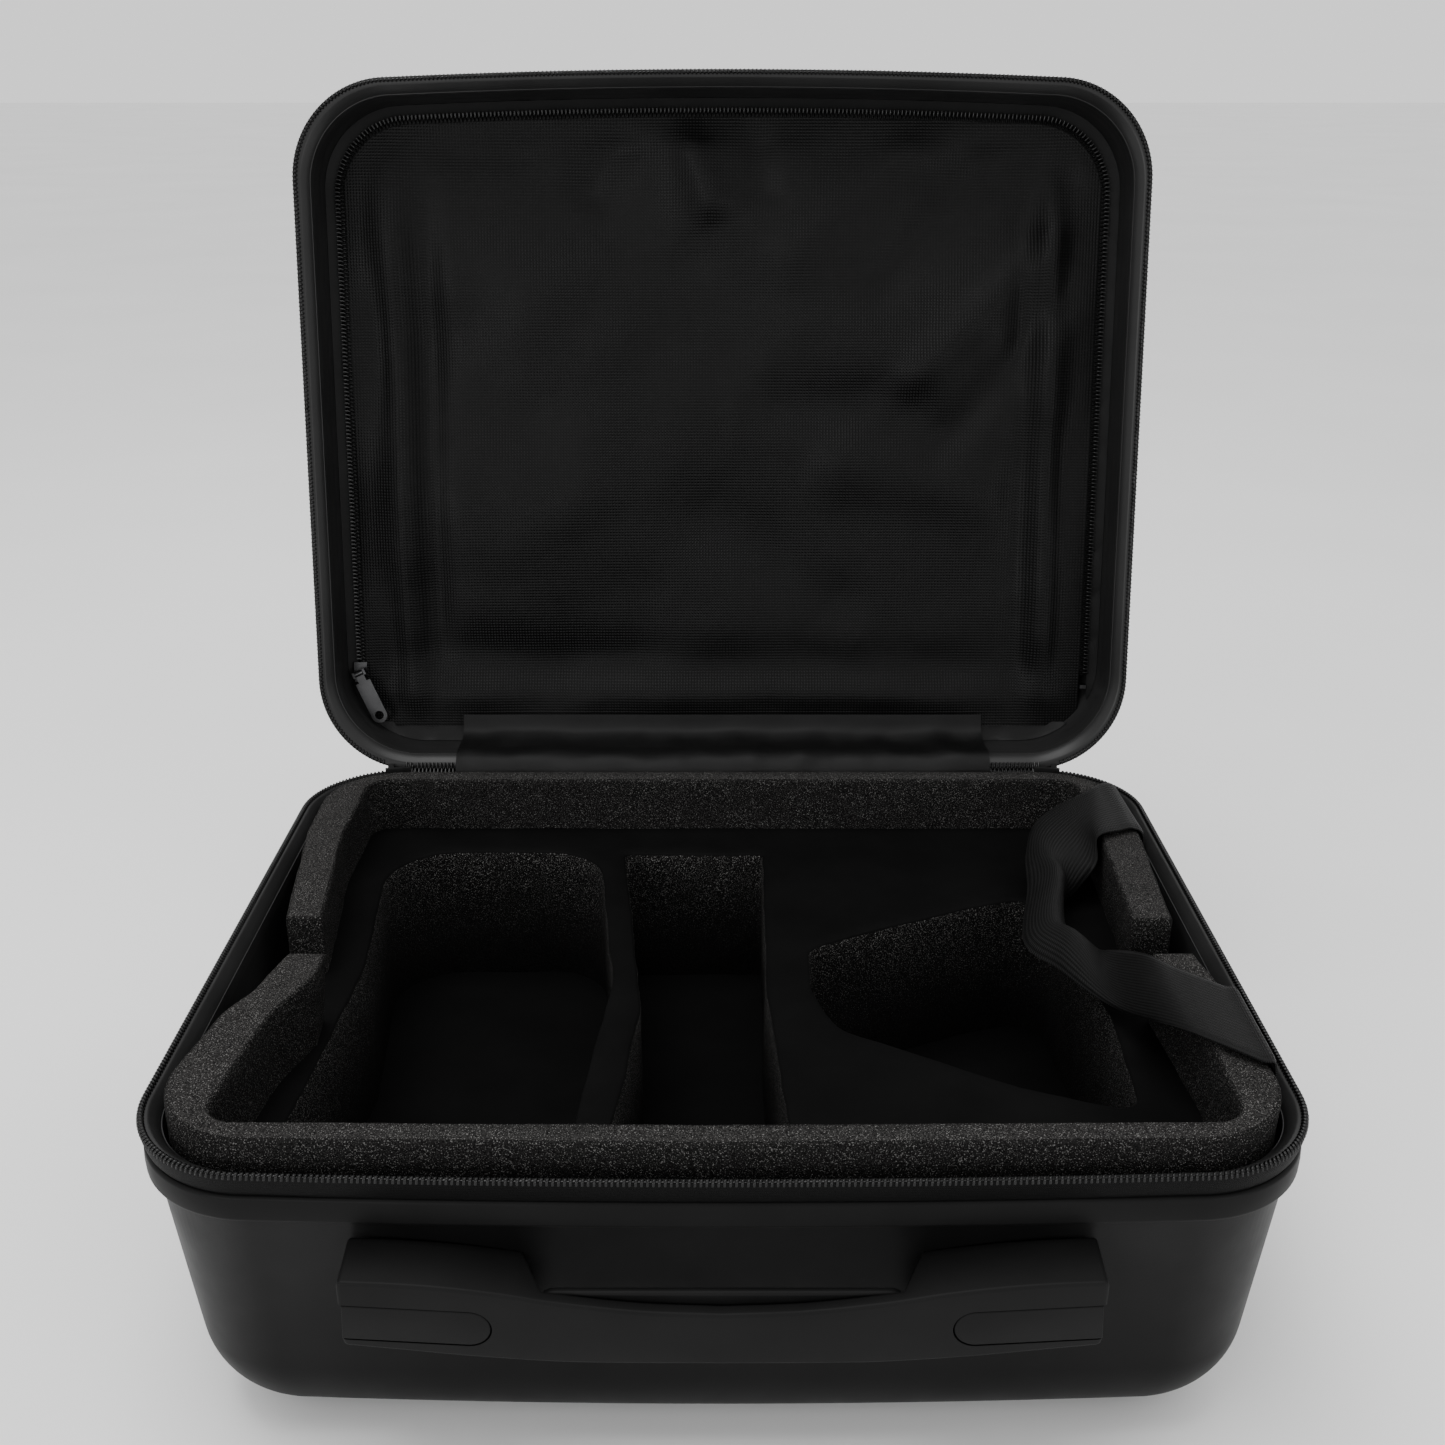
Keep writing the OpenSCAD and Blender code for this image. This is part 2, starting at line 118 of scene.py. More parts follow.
def front_u(e, y_end, corner=24):
    """Left side, front edge and right side of the outline, from y_end round to y_end."""
    pts = rim(e, corner)[2 * (corner + 1):]
    return np.vstack([[pts[0][0], y_end], pts, [pts[-1][0], y_end]])


def rounded(pts, step=9):
    """A closed path with rounded corners; each point is x, y, radius."""
    out = []
    for i, (x, y, r) in enumerate(pts):
        q = np.array([x, y], float)
        u = np.array(pts[i - 1][:2], float) - q
        v = np.array(pts[(i + 1) % len(pts)][:2], float) - q
        u /= np.linalg.norm(u)
        v /= np.linalg.norm(v)
        half = math.acos(max(-1, min(1, float(u @ v)))) / 2
        mid = q + (u + v) / np.linalg.norm(u + v) * r / math.sin(half)
        a = q + u * r / math.tan(half) - mid
        b = q + v * r / math.tan(half) - mid
        turn = math.atan2(a[0] * b[1] - a[1] * b[0], a @ b)
        n = max(3, math.ceil(abs(math.degrees(turn)) / step))
        a0 = math.atan2(a[1], a[0])
        for k in range(n + 1):
            t = a0 + turn * k / n
            out.append(mid + r * np.array([math.cos(t), math.sin(t)]))
    return np.array(out)


def walk(pts, step, shift=0.0):
    """Points and unit directions at equal steps along a path of any dimension."""
    pts = np.asarray(pts, float)
    gaps = np.linalg.norm(np.diff(pts, axis=0), axis=1)
    keep = np.r_[True, gaps > 1e-9]
    pts = pts[keep]
    along = np.r_[0, np.cumsum(gaps[keep[1:]])]
    n = max(2, int(round(along[-1] / step)))
    s = (np.arange(n) + 0.5 + shift) * along[-1] / n
    place = np.column_stack([np.interp(s, along, pts[:, k]) for k in range(pts.shape[1])])
    ahead = np.column_stack([np.interp(s + 0.4, along, pts[:, k]) for k in range(pts.shape[1])])
    back = np.column_stack([np.interp(s - 0.4, along, pts[:, k]) for k in range(pts.shape[1])])
    way = ahead - back
    return place, way / np.linalg.norm(way, axis=1)[:, None]


def spline(pts, per):
    """Catmull-Rom curve through rows of numbers."""
    pts = np.asarray(pts, float)
    ends = np.vstack([2 * pts[0] - pts[1], pts, 2 * pts[-1] - pts[-2]])
    t = (np.arange(per) / per)[:, None]
    out = []
    for i in range(1, len(ends) - 2):
        a, b, c, d = ends[i - 1:i + 3]
        out.append(0.5 * (2 * b + (c - a) * t + (2 * a - 5 * b + 4 * c - d) * t ** 2
                          + (3 * b - a - 3 * c + d) * t ** 3))
    return np.vstack(out + [pts[-1:]])


def inside(pts, loop):
    """Which points lie inside a closed loop."""
    x, y = pts[:, 0:1], pts[:, 1:2]
    x0, y0 = loop[:, 0], loop[:, 1]
    x1, y1 = np.roll(x0, -1), np.roll(y0, -1)
    with np.errstate(divide="ignore", invalid="ignore"):
        hit = ((y0 > y) != (y1 > y)) & (x < (x1 - x0) * (y - y0) / (y1 - y0) + x0)
    return hit.sum(axis=1) % 2 == 1


def outward(loop):
    """Unit outward normals of an anticlockwise closed loop."""
    way = np.roll(loop, -1, axis=0) - np.roll(loop, 1, axis=0)
    n = np.c_[way[:, 1], -way[:, 0]]
    area = np.sum(loop[:, 0] * np.roll(loop[:, 1], -1) - loop[:, 1] * np.roll(loop[:, 0], -1))
    return n / np.linalg.norm(n, axis=1)[:, None] * np.sign(area)


def fill(loop, holes, step):
    """Triangles over a region with holes, with a grid of points inside it."""
    loops = [loop] + holes
    low, high = loop.min(axis=0), loop.max(axis=0)
    gx, gy = np.meshgrid(np.arange(low[0] + step, high[0], step), np.arange(low[1] + step, high[1], step))
    grid = np.c_[gx.ravel(), gy.ravel()]
    ok = inside(grid, loop)
    for hole in holes:
        ok &= ~inside(grid, hole)
    grid = grid[ok]
    edge = np.vstack(loops)
    near = np.array([np.min(np.sum((edge - p) ** 2, axis=1)) for p in grid]) if len(grid) else np.array([])
    grid = grid[near > (0.6 * step) ** 2] if len(grid) else grid
    pts = np.vstack(loops + [grid])
    edges, start = [], 0
    for one in loops:
        n = len(one)
        edges += [(start + i, start + (i + 1) % n) for i in range(n)]
        start += n
    out = geometry.delaunay_2d_cdt([Vector(p) for p in pts], edges, [], 0, 1e-6)
    verts = np.array([pts[source[0]] if source else tuple(place) for place, source in zip(out[0], out[3])])
    tris = [tuple(int(i) for i in face) for face in out[2]]
    border = {frozenset(edge) for edge, source in zip(out[1], out[4]) if source}
    return verts, [tris[k] for k in kept(verts, tris, border, loops)]


def kept(verts, tris, border, loops):
    """The triangles inside a region: each patch between its borders is in or out by its largest triangle."""
    group = list(range(len(tris)))

    def root(k):
        while group[k] != k:
            k = group[k]
        return k

    first = {}
    for k, (a, b, c) in enumerate(tris):
        for side in (frozenset((a, b)), frozenset((b, c)), frozenset((c, a))):
            if side not in border:
                group[root(k)] = root(first.setdefault(side, k))
    one, two, three = (verts[[t[i] for t in tris]] for i in range(3))
    size = np.abs((two - one)[:, 0] * (three - one)[:, 1] - (two - one)[:, 1] * (three - one)[:, 0])
    mid = (one + two + three) / 3
    ok = inside(mid, loops[0])
    for hole in loops[1:]:
        ok &= ~inside(mid, hole)
    best = {}
    for k in range(len(tris)):
        r = root(k)
        if r not in best or size[k] > size[best[r]]:
            best[r] = k
    return [k for k in range(len(tris)) if ok[best[root(k)]] and size[best[root(k)]] > 0.01]


def wobble(pts, scale, amount, seed=0.0):
    """Smooth noise at each point, for soft unevenness."""
    return np.array([amount * noise.noise(Vector((p[0] / scale + seed, p[1] / scale, p[2] / scale)))
                     for p in pts])


def to_lid(pts):
    """From the closed lid (x, y, height above the zip plane) to the open lid."""
    pts = np.asarray(pts, float)
    c, s = math.cos(OPEN), math.sin(OPEN)
    back = HINGE_Y - pts[:, 1]
    return np.c_[pts[:, 0], HINGE_Y - c * back + s * pts[:, 2], ZIP_Z + s * back + c * pts[:, 2]]


def to_base(pts):
    """From height above the zip plane to the lower shell."""
    pts = np.asarray(pts, float)
    return pts + [0, 0, ZIP_Z]


def on_front(pts):
    """From the handle's frame on the front wall to the case."""
    pts = np.asarray(pts, float)
    inset = WALL_E + (ZIP_Z - WALL_U - HANDLE_Z) * math.tan(DRAFT)
    wall_y = CASE_D / 2 - BOW * (ANCHOR_X / TEETH_CY) ** 2 - inset
    c, s = math.cos(DRAFT), math.sin(DRAFT)
    return np.c_[pts[:, 0], -wall_y + c * pts[:, 1] - s * pts[:, 2],
                 HANDLE_Z + s * pts[:, 1] + c * pts[:, 2]]


# ---- meshes -----------------------------------------------------------------------------------

class Build:
    """Gathers vertices in millimetres, faces, face materials and texture places."""

    def __init__(self):
        self.verts, self.faces, self.ids, self.uvs = [], [], [], []
        self.count = 0

    def add(self, verts, faces, mat=0, uv=None):
        verts = np.asarray(verts, float)
        self.verts.append(verts)
        self.faces += [tuple(int(i) + self.count for i in f) for f in faces]
        self.ids += [mat] * len(faces) if isinstance(mat, int) else list(mat)
        self.uvs.append(np.zeros((len(verts), 2)) if uv is None else np.asarray(uv, float))
        self.count += len(verts)
        return self

    def move(self, place):
        self.verts = [place(np.vstack(self.verts))]
        return self


def piece(name, build, body, materials, sharp=40, weld=0.0, closed=True, uv=False):
    verts = np.vstack(build.verts) / 1000
    me = bpy.data.meshes.new(name)
    me.from_pydata(verts.tolist(), [], build.faces)
    for m in materials:
        me.materials.append(m)
    me.polygons.foreach_set("material_index", build.ids)
    if uv:
        places = np.vstack(build.uvs) / 1000
        layer = me.uv_layers.new(name="place")
        index = np.empty(len(me.loops), dtype=np.int32)
        me.loops.foreach_get("vertex_index", index)
        layer.data.foreach_set("uv", places[index].ravel())
    if weld or closed:
        bm = bmesh.new()
        bm.from_mesh(me)
        if weld:
            bmesh.ops.remove_doubles(bm, verts=bm.verts, dist=weld / 1000)
        if closed:
            bmesh.ops.holes_fill(bm, edges=[e for e in bm.edges if e.is_boundary], sides=8)
            bmesh.ops.recalc_face_normals(bm, faces=bm.faces)
        bm.to_mesh(me)
        bm.free()
    me.polygons.foreach_set("use_smooth", [True] * len(me.polygons))
    me.set_sharp_from_angle(angle=math.radians(sharp))
    me.update()
    ob = bpy.data.objects.new(name, me)
    bpy.context.scene.collection.objects.link(ob)
    if body:
        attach(ob, body)
    return ob


def strip_faces(rows, cols, closed_rows=False, closed_cols=False):
    """Quads over a grid of rows and columns of vertices."""
    out = []
    for i in range(rows if closed_rows else rows - 1):
        for k in range(cols if closed_cols else cols - 1):
            a, b = i * cols, ((i + 1) % rows) * cols
            k2 = (k + 1) % cols
            out.append((a + k, a + k2, b + k2, b + k))
    return out


def tube(path, r, sides=6, ends=True):
    """A round wire along a path."""
    path = np.asarray(path, float)
    way = np.gradient(path, axis=0)
    way /= np.linalg.norm(way, axis=1)[:, None]
    side = np.cross(way[0], [0.3, 0.9, 0.2])
    verts = []
    for p, w in zip(path, way):
        side = side - w * (side @ w)
        side /= np.linalg.norm(side)
        up = np.cross(w, side)
        for k in range(sides):
            a = 2 * math.pi * k / sides
            verts.append(p + r * (math.cos(a) * side + math.sin(a) * up))
    faces = strip_faces(len(path), sides, closed_cols=True)
    if ends:
        n = len(verts)
        faces += [tuple(range(sides))[::-1], tuple(range(n - sides, n))]
    return np.array(verts), faces


def repeat(build, template, places, along, out, up, mat=0):
    """Copies a small shape, drawn as (along, out, up), to each place."""
    verts, faces = template
    n, m = len(places), len(verts)
    all_verts = (places[:, None, :] + verts[None, :, 0:1] * along[:, None, :]
                 + verts[None, :, 1:2] * out[:, None, :] + verts[None, :, 2:3] * up[:, None, :])
    all_faces = [tuple(i + k * m for i in f) for k in range(n) for f in faces]
    build.add(all_verts.reshape(-1, 3), all_faces, mat)


def slab(outline, y_front, y_back, edge, steps=3):
    """A plate seen from the front, with rounded front and back edges; outline is (x, z)."""
    n = outward(outline)
    rings = []
    for k in range(steps + 1):
        a = math.pi / 2 * k / steps
        rings.append((edge * (1 - math.sin(a)), y_front + edge * (1 - math.cos(a))))
    for k in range(steps, -1, -1):
        a = math.pi / 2 * k / steps
        rings.append((edge * (1 - math.sin(a)), y_back - edge * (1 - math.cos(a))))
    verts = []
    for e, y in rings:
        flat = outline - n * e
        verts.append(np.c_[flat[:, 0], np.full(len(flat), y), flat[:, 1]])
    m = len(outline)
    faces = strip_faces(len(rings), m, closed_cols=True)
    faces += [tuple(range(m)), tuple(range((len(rings) - 1) * m, len(rings) * m))[::-1]]
    return np.vstack(verts), faces


# ---- materials --------------------------------------------------------------------------------

def material(name, colour, rough, metal=0.0, shine=0.5):
    m = bpy.data.materials.new(name)
    m.use_nodes = True
    shader = m.node_tree.nodes["Principled BSDF"]
    shader.inputs["Base Color"].default_value = (*colour, 1)
    shader.inputs["Roughness"].default_value = rough
    shader.inputs["Metallic"].default_value = metal
    shader.inputs["Specular IOR Level"].default_value = shine
    return m


class Nodes:
    """Short names for building a material's nodes."""

    def __init__(self, m, coords="Object"):
        self.tree = m.node_tree
        self.shader = self.tree.nodes["Principled BSDF"]
        self.coords = self.tree.nodes.new("ShaderNodeTexCoord").outputs[coords]

    def link(self, a, b):
        self.tree.links.new(a, b)
        return self

    def noise(self, scale, detail, rough=0.55):
        n = self.tree.nodes.new("ShaderNodeTexNoise")
        n.inputs["Scale"].default_value = scale
        n.inputs["Detail"].default_value = detail
        n.inputs["Roughness"].default_value = rough
        self.link(self.coords, n.inputs["Vector"])
        return n.outputs["Fac"]

    def cells(self, scale):
        n = self.tree.nodes.new("ShaderNodeTexVoronoi")
        n.inputs["Scale"].default_value = scale
        self.link(self.coords, n.inputs["Vector"])
        return n.outputs["Distance"]

    def wave(self, scale, direction, distort):
        n = self.tree.nodes.new("ShaderNodeTexWave")
        n.bands_direction = direction
        n.inputs["Scale"].default_value = scale
        n.inputs["Distortion"].default_value = distort
        n.inputs["Detail"].default_value = 2
        self.link(self.coords, n.inputs["Vector"])
        return n.outputs["Fac"]

    def math(self, kind, a, b):
        n = self.tree.nodes.new("ShaderNodeMath")
        n.operation = kind
        for k, v in enumerate((a, b)):
            if isinstance(v, (int, float)):
                n.inputs[k].default_value = v
            else:
                self.link(v, n.inputs[k])
        return n.outputs[0]

    def ramp(self, fac, stops):
        n = self.tree.nodes.new("ShaderNodeValToRGB")
        for k, (at, colour) in enumerate(stops):
            if k > 1:
                n.color_ramp.elements.new(at)
            spot = n.color_ramp.elements[k]
            spot.position = at
            spot.color = (*colour, 1) if isinstance(colour, tuple) else (colour, colour, colour, 1)
        self.link(fac, n.inputs["Fac"])
        return n.outputs["Color"]

    def colour(self, fac, stops):
        self.link(self.ramp(fac, stops), self.shader.inputs["Base Color"])
        return self

    def rough(self, fac, low, high):
        n = self.tree.nodes.new("ShaderNodeMapRange")
        n.inputs["To Min"].default_value = low
        n.inputs["To Max"].default_value = high
        self.link(fac, n.inputs["Value"])
        self.link(n.outputs["Result"], self.shader.inputs["Roughness"])
        return self

    def bump(self, *layers):
        """Each layer is (height, strength, distance in metres)."""
        last = None
        for height, strength, distance in layers:
            n = self.tree.nodes.new("ShaderNodeBump")
            n.inputs["Strength"].default_value = strength
            n.inputs["Distance"].default_value = distance
            self.link(height, n.inputs["Height"])
            if last is not None:
                self.link(last, n.inputs["Normal"])
            last = n.outputs["Normal"]
        self.link(last, self.shader.inputs["Normal"])
        return self


def moulded(name, dark, light, rough, grain=1400, shine=0.5, sway=0.08):
    """Moulded plastic: fine grain, faint cloudiness and worn shine."""
    m = material(name, (dark, dark, dark), rough, shine=shine)
    n = Nodes(m)
    cloud = n.noise(28, 4)
    n.colour(cloud, [(0.3, dark), (0.7, light)])
    n.rough(n.noise(60, 5), rough - 0.07, rough + 0.09)
    n.bump((n.noise(grain, 2), 0.12, 0.00012), (n.noise(18, 2), sway, 0.001))
    return m


def open_foam(name, dark, light, glint_tone, cell=1500, depth_shade=False):
    """Cut foam: dark cells with bright specks painted into the colour as glints on the struts; optionally the
    glints thin out deep in a bay, as painted shade.
    """
    m = material(name, (dark, dark, dark), 0.9)
    n = Nodes(m)
    grain = n.noise(cell, 2, 0.7)
    glint_noise = n.noise(cell * 1.7, 1, 0.6)
    # bright specks mixed into the base colour: painted glints where the struts catch the light
    painted_glints = n.ramp(glint_noise, [(0.60, 0.0), (0.72, 1.0)])
    if depth_shade:
        # fewer glints towards the bay floor: painted shade deep in the bay
        depth = n.tree.nodes.new("ShaderNodeSeparateXYZ")
        n.link(n.coords, depth.inputs["Vector"])
        reach = n.tree.nodes.new("ShaderNodeMapRange")
        n.link(depth.outputs["Z"], reach.inputs["Value"])
        reach.inputs["From Min"].default_value = BAY_Z / 1000
        reach.inputs["From Max"].default_value = TRAY_Z / 1000
        painted_glints = n.math("MULTIPLY", painted_glints, n.math("POWER", reach.outputs["Result"], 1.6))
    base = n.ramp(grain, [(0.32, (dark, dark * 0.97, dark * 0.95)),
                          (0.62, (light, light * 0.965, light * 0.94))])
    mix = n.tree.nodes.new("ShaderNodeMixRGB")
    mix.inputs["Color2"].default_value = (glint_tone, glint_tone * 0.98, glint_tone * 0.95, 1)
    n.link(painted_glints, mix.inputs["Fac"])
    n.link(base, mix.inputs["Color1"])
    n.link(mix.outputs["Color"], n.shader.inputs["Base Color"])
    n.bump((grain, 0.9, 0.0006), (n.cells(cell * 0.7), 0.5, 0.0004), (n.noise(70, 3), 0.35, 0.0008))
    n.shader.inputs["Specular IOR Level"].default_value = 0.05
    return m


def skin_foam(name, dark, light):
    """The foam's smooth closed skin."""
    m = material(name, (dark, dark, dark), 0.75)
    n = Nodes(m)
    n.colour(n.noise(35, 4), [(0.35, dark), (0.7, light)])
    n.rough(n.noise(90, 3), 0.68, 0.85)
    n.bump((n.noise(900, 2), 0.15, 0.0002), (n.noise(40, 3), 0.25, 0.0008))
    n.shader.inputs["Specular IOR Level"].default_value = 0.06
    return m


def woven(name, dark, light, rough, across, along, depth=0.0002, shine=0.12):
    """Cloth woven along its texture place: threads per metre each way."""
    m = material(name, (dark, dark, dark), rough)
    n = Nodes(m, "UV")
    warp = n.wave(across * 0.314, "Y", 0.6)
    weft = n.wave(along * 0.314, "X", 0.6)
    weave = n.math("MULTIPLY", warp, weft)
    n.colour(n.math("ADD", n.math("MULTIPLY", weave, 0.7), n.math("MULTIPLY", n.noise(160, 3), 0.3)),
             [(0.1, dark), (0.75, light)])
    n.bump((weave, 0.7, depth), (n.noise(60, 3), 0.15, 0.0006))
    n.shader.inputs["Specular IOR Level"].default_value = shine
    return m


def metal(name, tone, rough):
    m = material(name, (tone, tone, tone * 1.02), rough, metal=1.0)
    n = Nodes(m)
    n.colour(n.noise(220, 4), [(0.3, (tone * 0.8, tone * 0.8, tone * 0.82)), (0.7, (tone, tone, tone * 1.02))])
    n.rough(n.noise(420, 4), rough - 0.08, rough + 0.14)
    n.bump((n.noise(1600, 2), 0.1, 0.0001))
    return m


SHELL_OUT = moulded("shell_outside", 0.003, 0.0045, 0.45, shine=0.085)
# inner face of the same plastic: a glossier finish, plus a base colour about three times the outside's, painted
# sheen standing in for the inner walls' highlights
SHELL_IN = moulded("shell_inside_painted_sheen", 0.010, 0.014, 0.36, 700, shine=0.22, sway=0.01)
GRIP = moulded("handle_plastic", 0.004, 0.0055, 0.5, 1700, shine=0.09)
SLIDE = moulded("slider_enamel", 0.008, 0.012, 0.30, 900)
COIL = moulded("zip_coil", 0.0025, 0.004, 0.22, 900, shine=0.26)
# the same cut foam three times: lighter on the tops as painted light from above, darker on the collar sides and
# darker still, with thinning glints, in the bays as painted shade
FOAM = open_foam("cut_foam", 0.003, 0.024, 0.17)
FOAM_SIDE_SHADE = open_foam("cut_foam_side_painted_shade", 0.002, 0.010, 0.13)
FOAM_BAY_SHADE = open_foam("cut_foam_bay_painted_shade", 0.002, 0.008, 0.26, depth_shade=True)
SKIN = skin_foam("foam_skin", 0.0012, 0.0022)
FLOOR_FOAM = skin_foam("foam_floor", 0.0018, 0.0026)
TAPE = woven("zip_tape_weave", 0.0007, 0.0026, 0.62, 1500, 1500, 0.0002, 0.09)
STRAP = woven("webbing_weave", 0.003, 0.010, 0.55, 520, 1500, 0.0005)
CLOTH = woven("lining_cloth", 0.002, 0.005, 0.36, 2600, 2600, 0.0001, 0.14)
MESH = woven("lining_mesh", 0.0007, 0.0052, 0.34, 780, 780, 0.0003, 0.10)
STEEL = metal("plate_steel", 0.42, 0.34)
GUN = metal("pull_metal", 0.055, 0.30)


# ---- shells -----------------------------------------------------------------------------------

def arc(e, u, r, a0, a1, n):
    a = np.radians(np.linspace(a0, a1, n + 1))
    return [(e - r * math.cos(t), u + r * math.sin(t)) for t in a]


def shell_build(height, r):
    """A shell drawn downwards from the zip plane; the band's edges are rounded."""
    inner = WALL_E + WALL / math.cos(DRAFT)
    e = WALL_E + (height - r - WALL_U) * math.tan(DRAFT) + r / math.cos(DRAFT)
    out = [(e + 8, height)] + arc(e, height - r, r, 90, 6, 20)
    out += [(WALL_E, 17.95), (WALL_E - 0.25, 17.65)]
    out += arc(BAND_E + 1.5, 15.9, 1.5, 75, 0, 5)
    out += [(BAND_E - 0.12, 12.9)]
    out += arc(BAND_E + 1.3, 9.9, 1.3, 0, -75, 5)
    out += [(NECK_E, 8.3), (NECK_E, 6)] + arc(NECK_E + 1, 6, 1, 0, -90, 4)
    edge = len(out)
    out += [(inner - 1, 5), (inner - 0.8, 5), (inner - 0.2, 5.3), (inner, 6), (inner, WALL_U)]
    out += arc(e, height - r, r - WALL, 6, 90, 20) + [(e + 8, height - WALL)]
    b = Build()
    rings = [np.c_[rim(p[0]), np.full(len(rim(p[0])), -p[1])] for p in out]
    m = len(rings[0])
    faces = strip_faces(len(rings), m, closed_cols=True)
    ids = [0 if i // m < edge else 1 for i in range(len(faces))]
    faces += [tuple(range(m))[::-1], tuple(range((len(rings) - 1) * m, len(rings) * m))]
    b.add(np.vstack(rings), faces, ids + [0, 1])
    return b


def mirror_up(build):
    return build.move(lambda p: to_lid(p * [1, 1, -1]))


lower = piece("lower_shell", shell_build(ZIP_Z, BOTTOM_R).move(to_base), "base",
              [SHELL_OUT, SHELL_IN], 50)
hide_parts("base_shell")
upper = piece("lid_moulding", mirror_up(shell_build(LID_H, LID_R)), "lid",
              [SHELL_OUT, SHELL_IN], 50)
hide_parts("lid_shell")


# ---- zip --------------------------------------------------------------------------------------

def tape_build():
    """The tape and the smooth lip behind it, drawn downwards from the zip plane."""
    weave = [(1.05, 1.0), (0.5, 1.0), (0.4, 2.2), (0.8, 4.5), (1.5, 7.2), (2.3, 8.6)]
    lip = [(2.3, 8.6), (2.9, 8.6), (2.95, 5), (6.7, 5.2), (6.75, 9.5), (7.05, 9.5), (6.9, 6.4), (6.2, 4.6),
           (4.9, 3.0), (3.6, 1.9), (2.9, 1.4), (2.4, 1.5)]
    b = Build()
    rings, uvs = [], []
    for e, u in weave + lip[1:]:
        loop = rim(e)
        loop = np.vstack([loop, loop[:1]])
        run = np.r_[0, np.cumsum(np.linalg.norm(np.diff(loop, axis=0), axis=1))]
        rings.append(np.c_[loop, np.full(len(loop), -u)])
        uvs.append(np.c_[run, np.full(len(loop), u)])
    m = len(rings[0])
    faces = strip_faces(len(rings), m, closed_rows=True)
    ids = [0 if k // (m - 1) < len(weave) - 1 else 1 for k in range(len(faces))]
    b.add(np.vstack(rings), faces, ids, np.vstack(uvs))
    return b


def loop_template(width, height, wire, lean=0.3, sides=6):
    """One turn of coil: an arch across the tape, drawn as (along, out, up)."""
    path = []
    for k in range(9):
        a = math.pi * k / 8
        path.append((lean * math.cos(a), width / 2 * math.cos(a), -1.5 + (height + 1.5) * math.sin(a) ** 0.55))
    return tube(path, wire, sides, ends=False)


def row_build():
    """Coil turns round the front and sides, open at the back, drawn at the zip plane."""
    start = np.array([[TEETH_CX + TEETH_ARC * math.sin(t), TEETH_CY + TEETH_ARC * math.cos(t)]
                      for t in np.radians(np.linspace(19, 90, 20))])
    front = front_u(TEETH_IN, TEETH_CY)[::-1]
    path = np.vstack([start, front[1:-1], (start * [-1, 1])[::-1]])
    place, way = walk(path, PITCH)
    k = len(place)
    b = Build()
    along = np.c_[way, np.zeros(k)]
    out = np.c_[-way[:, 1], way[:, 0], np.zeros(k)]
    up = np.tile([0.0, 0, 1], (k, 1))
    repeat(b, loop_template(1.5, 0.0, 0.45), np.c_[place, np.full(k, -0.55)], along, out, up)
    core = walk(path, 3)[0]
    verts, faces = tube(np.c_[core, np.full(len(core), -1.4)], 0.6, 6)
    b.add(verts, faces)
    return b


base_tape = piece("base_tape", tape_build().move(to_base), "base", [TAPE, SHELL_IN], 60, uv=True)
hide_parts("base_zip_tape")
lid_tape = piece("lid_tape", mirror_up(tape_build()), "lid", [TAPE, SHELL_IN], 60, uv=True)
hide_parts("lid_zip_tape")
base_row = piece("base_coil", row_build().move(to_base), "base", [COIL], 60)
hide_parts("base_zip_teeth")
lid_row = piece("lid_coil", mirror_up(row_build()), "lid", [COIL], 60)
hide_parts("lid_zip_teeth")

# directions of the meshed chain at the hinge: across its width, and the way it faces
ACROSS = np.array([0, math.cos((math.pi - OPEN) / 2), math.sin((math.pi - OPEN) / 2)])
FACING = np.array([0, -ACROSS[2], ACROSS[1]])


def chain(b, path, across, facing, width=4.8, wire=0.42):
    """Two meshed rows of coil turns along a path."""
    for side in (-1, 1):
        place, way = walk(path, PITCH, shift=0.25 * side)
        k = len(place)
        turn = []
        for i in range(9):
            a = math.pi * i / 8
            turn.append((0.3 * math.cos(a), side * (width / 2 - (width * 0.62) * math.sin(a) ** 0.8),
                         0.75 * math.cos(a)))
        w = np.tile(across, (k, 1)) if np.ndim(across) == 1 else across(place, way)
        f = np.tile(facing, (k, 1)) if np.ndim(facing) == 1 else facing(place, way)
        repeat(b, tube(turn, wire, 6, ends=False), place, way, w, f)


def corner_chain(side):
    """The raised chain from the hinge to a slider, midway between the two rims."""
    pts = []
    for t in np.radians(np.linspace(0, 5, 4)):
        x = side * (TEETH_CX + TEETH_ARC * math.sin(t))
        low = np.array([x, TEETH_CY + TEETH_ARC * math.cos(t), ZIP_Z])
        high = to_lid([[low[0], low[1], 0]])[0]
        pts.append((low + high) / 2)
    return np.array(pts)


hinge_build = Build()
chain(hinge_build, np.array([[-TEETH_CX, HINGE_Y, ZIP_Z], [TEETH_CX, HINGE_Y, ZIP_Z]]), ACROSS, FACING)
for side in (-1, 1):
    chain(hinge_build, corner_chain(side), ACROSS, FACING)
hinge_chain = piece("hinge_coil", hinge_build, None, [COIL], 60)
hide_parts("hinge_zip_teeth")
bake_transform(hinge_chain)


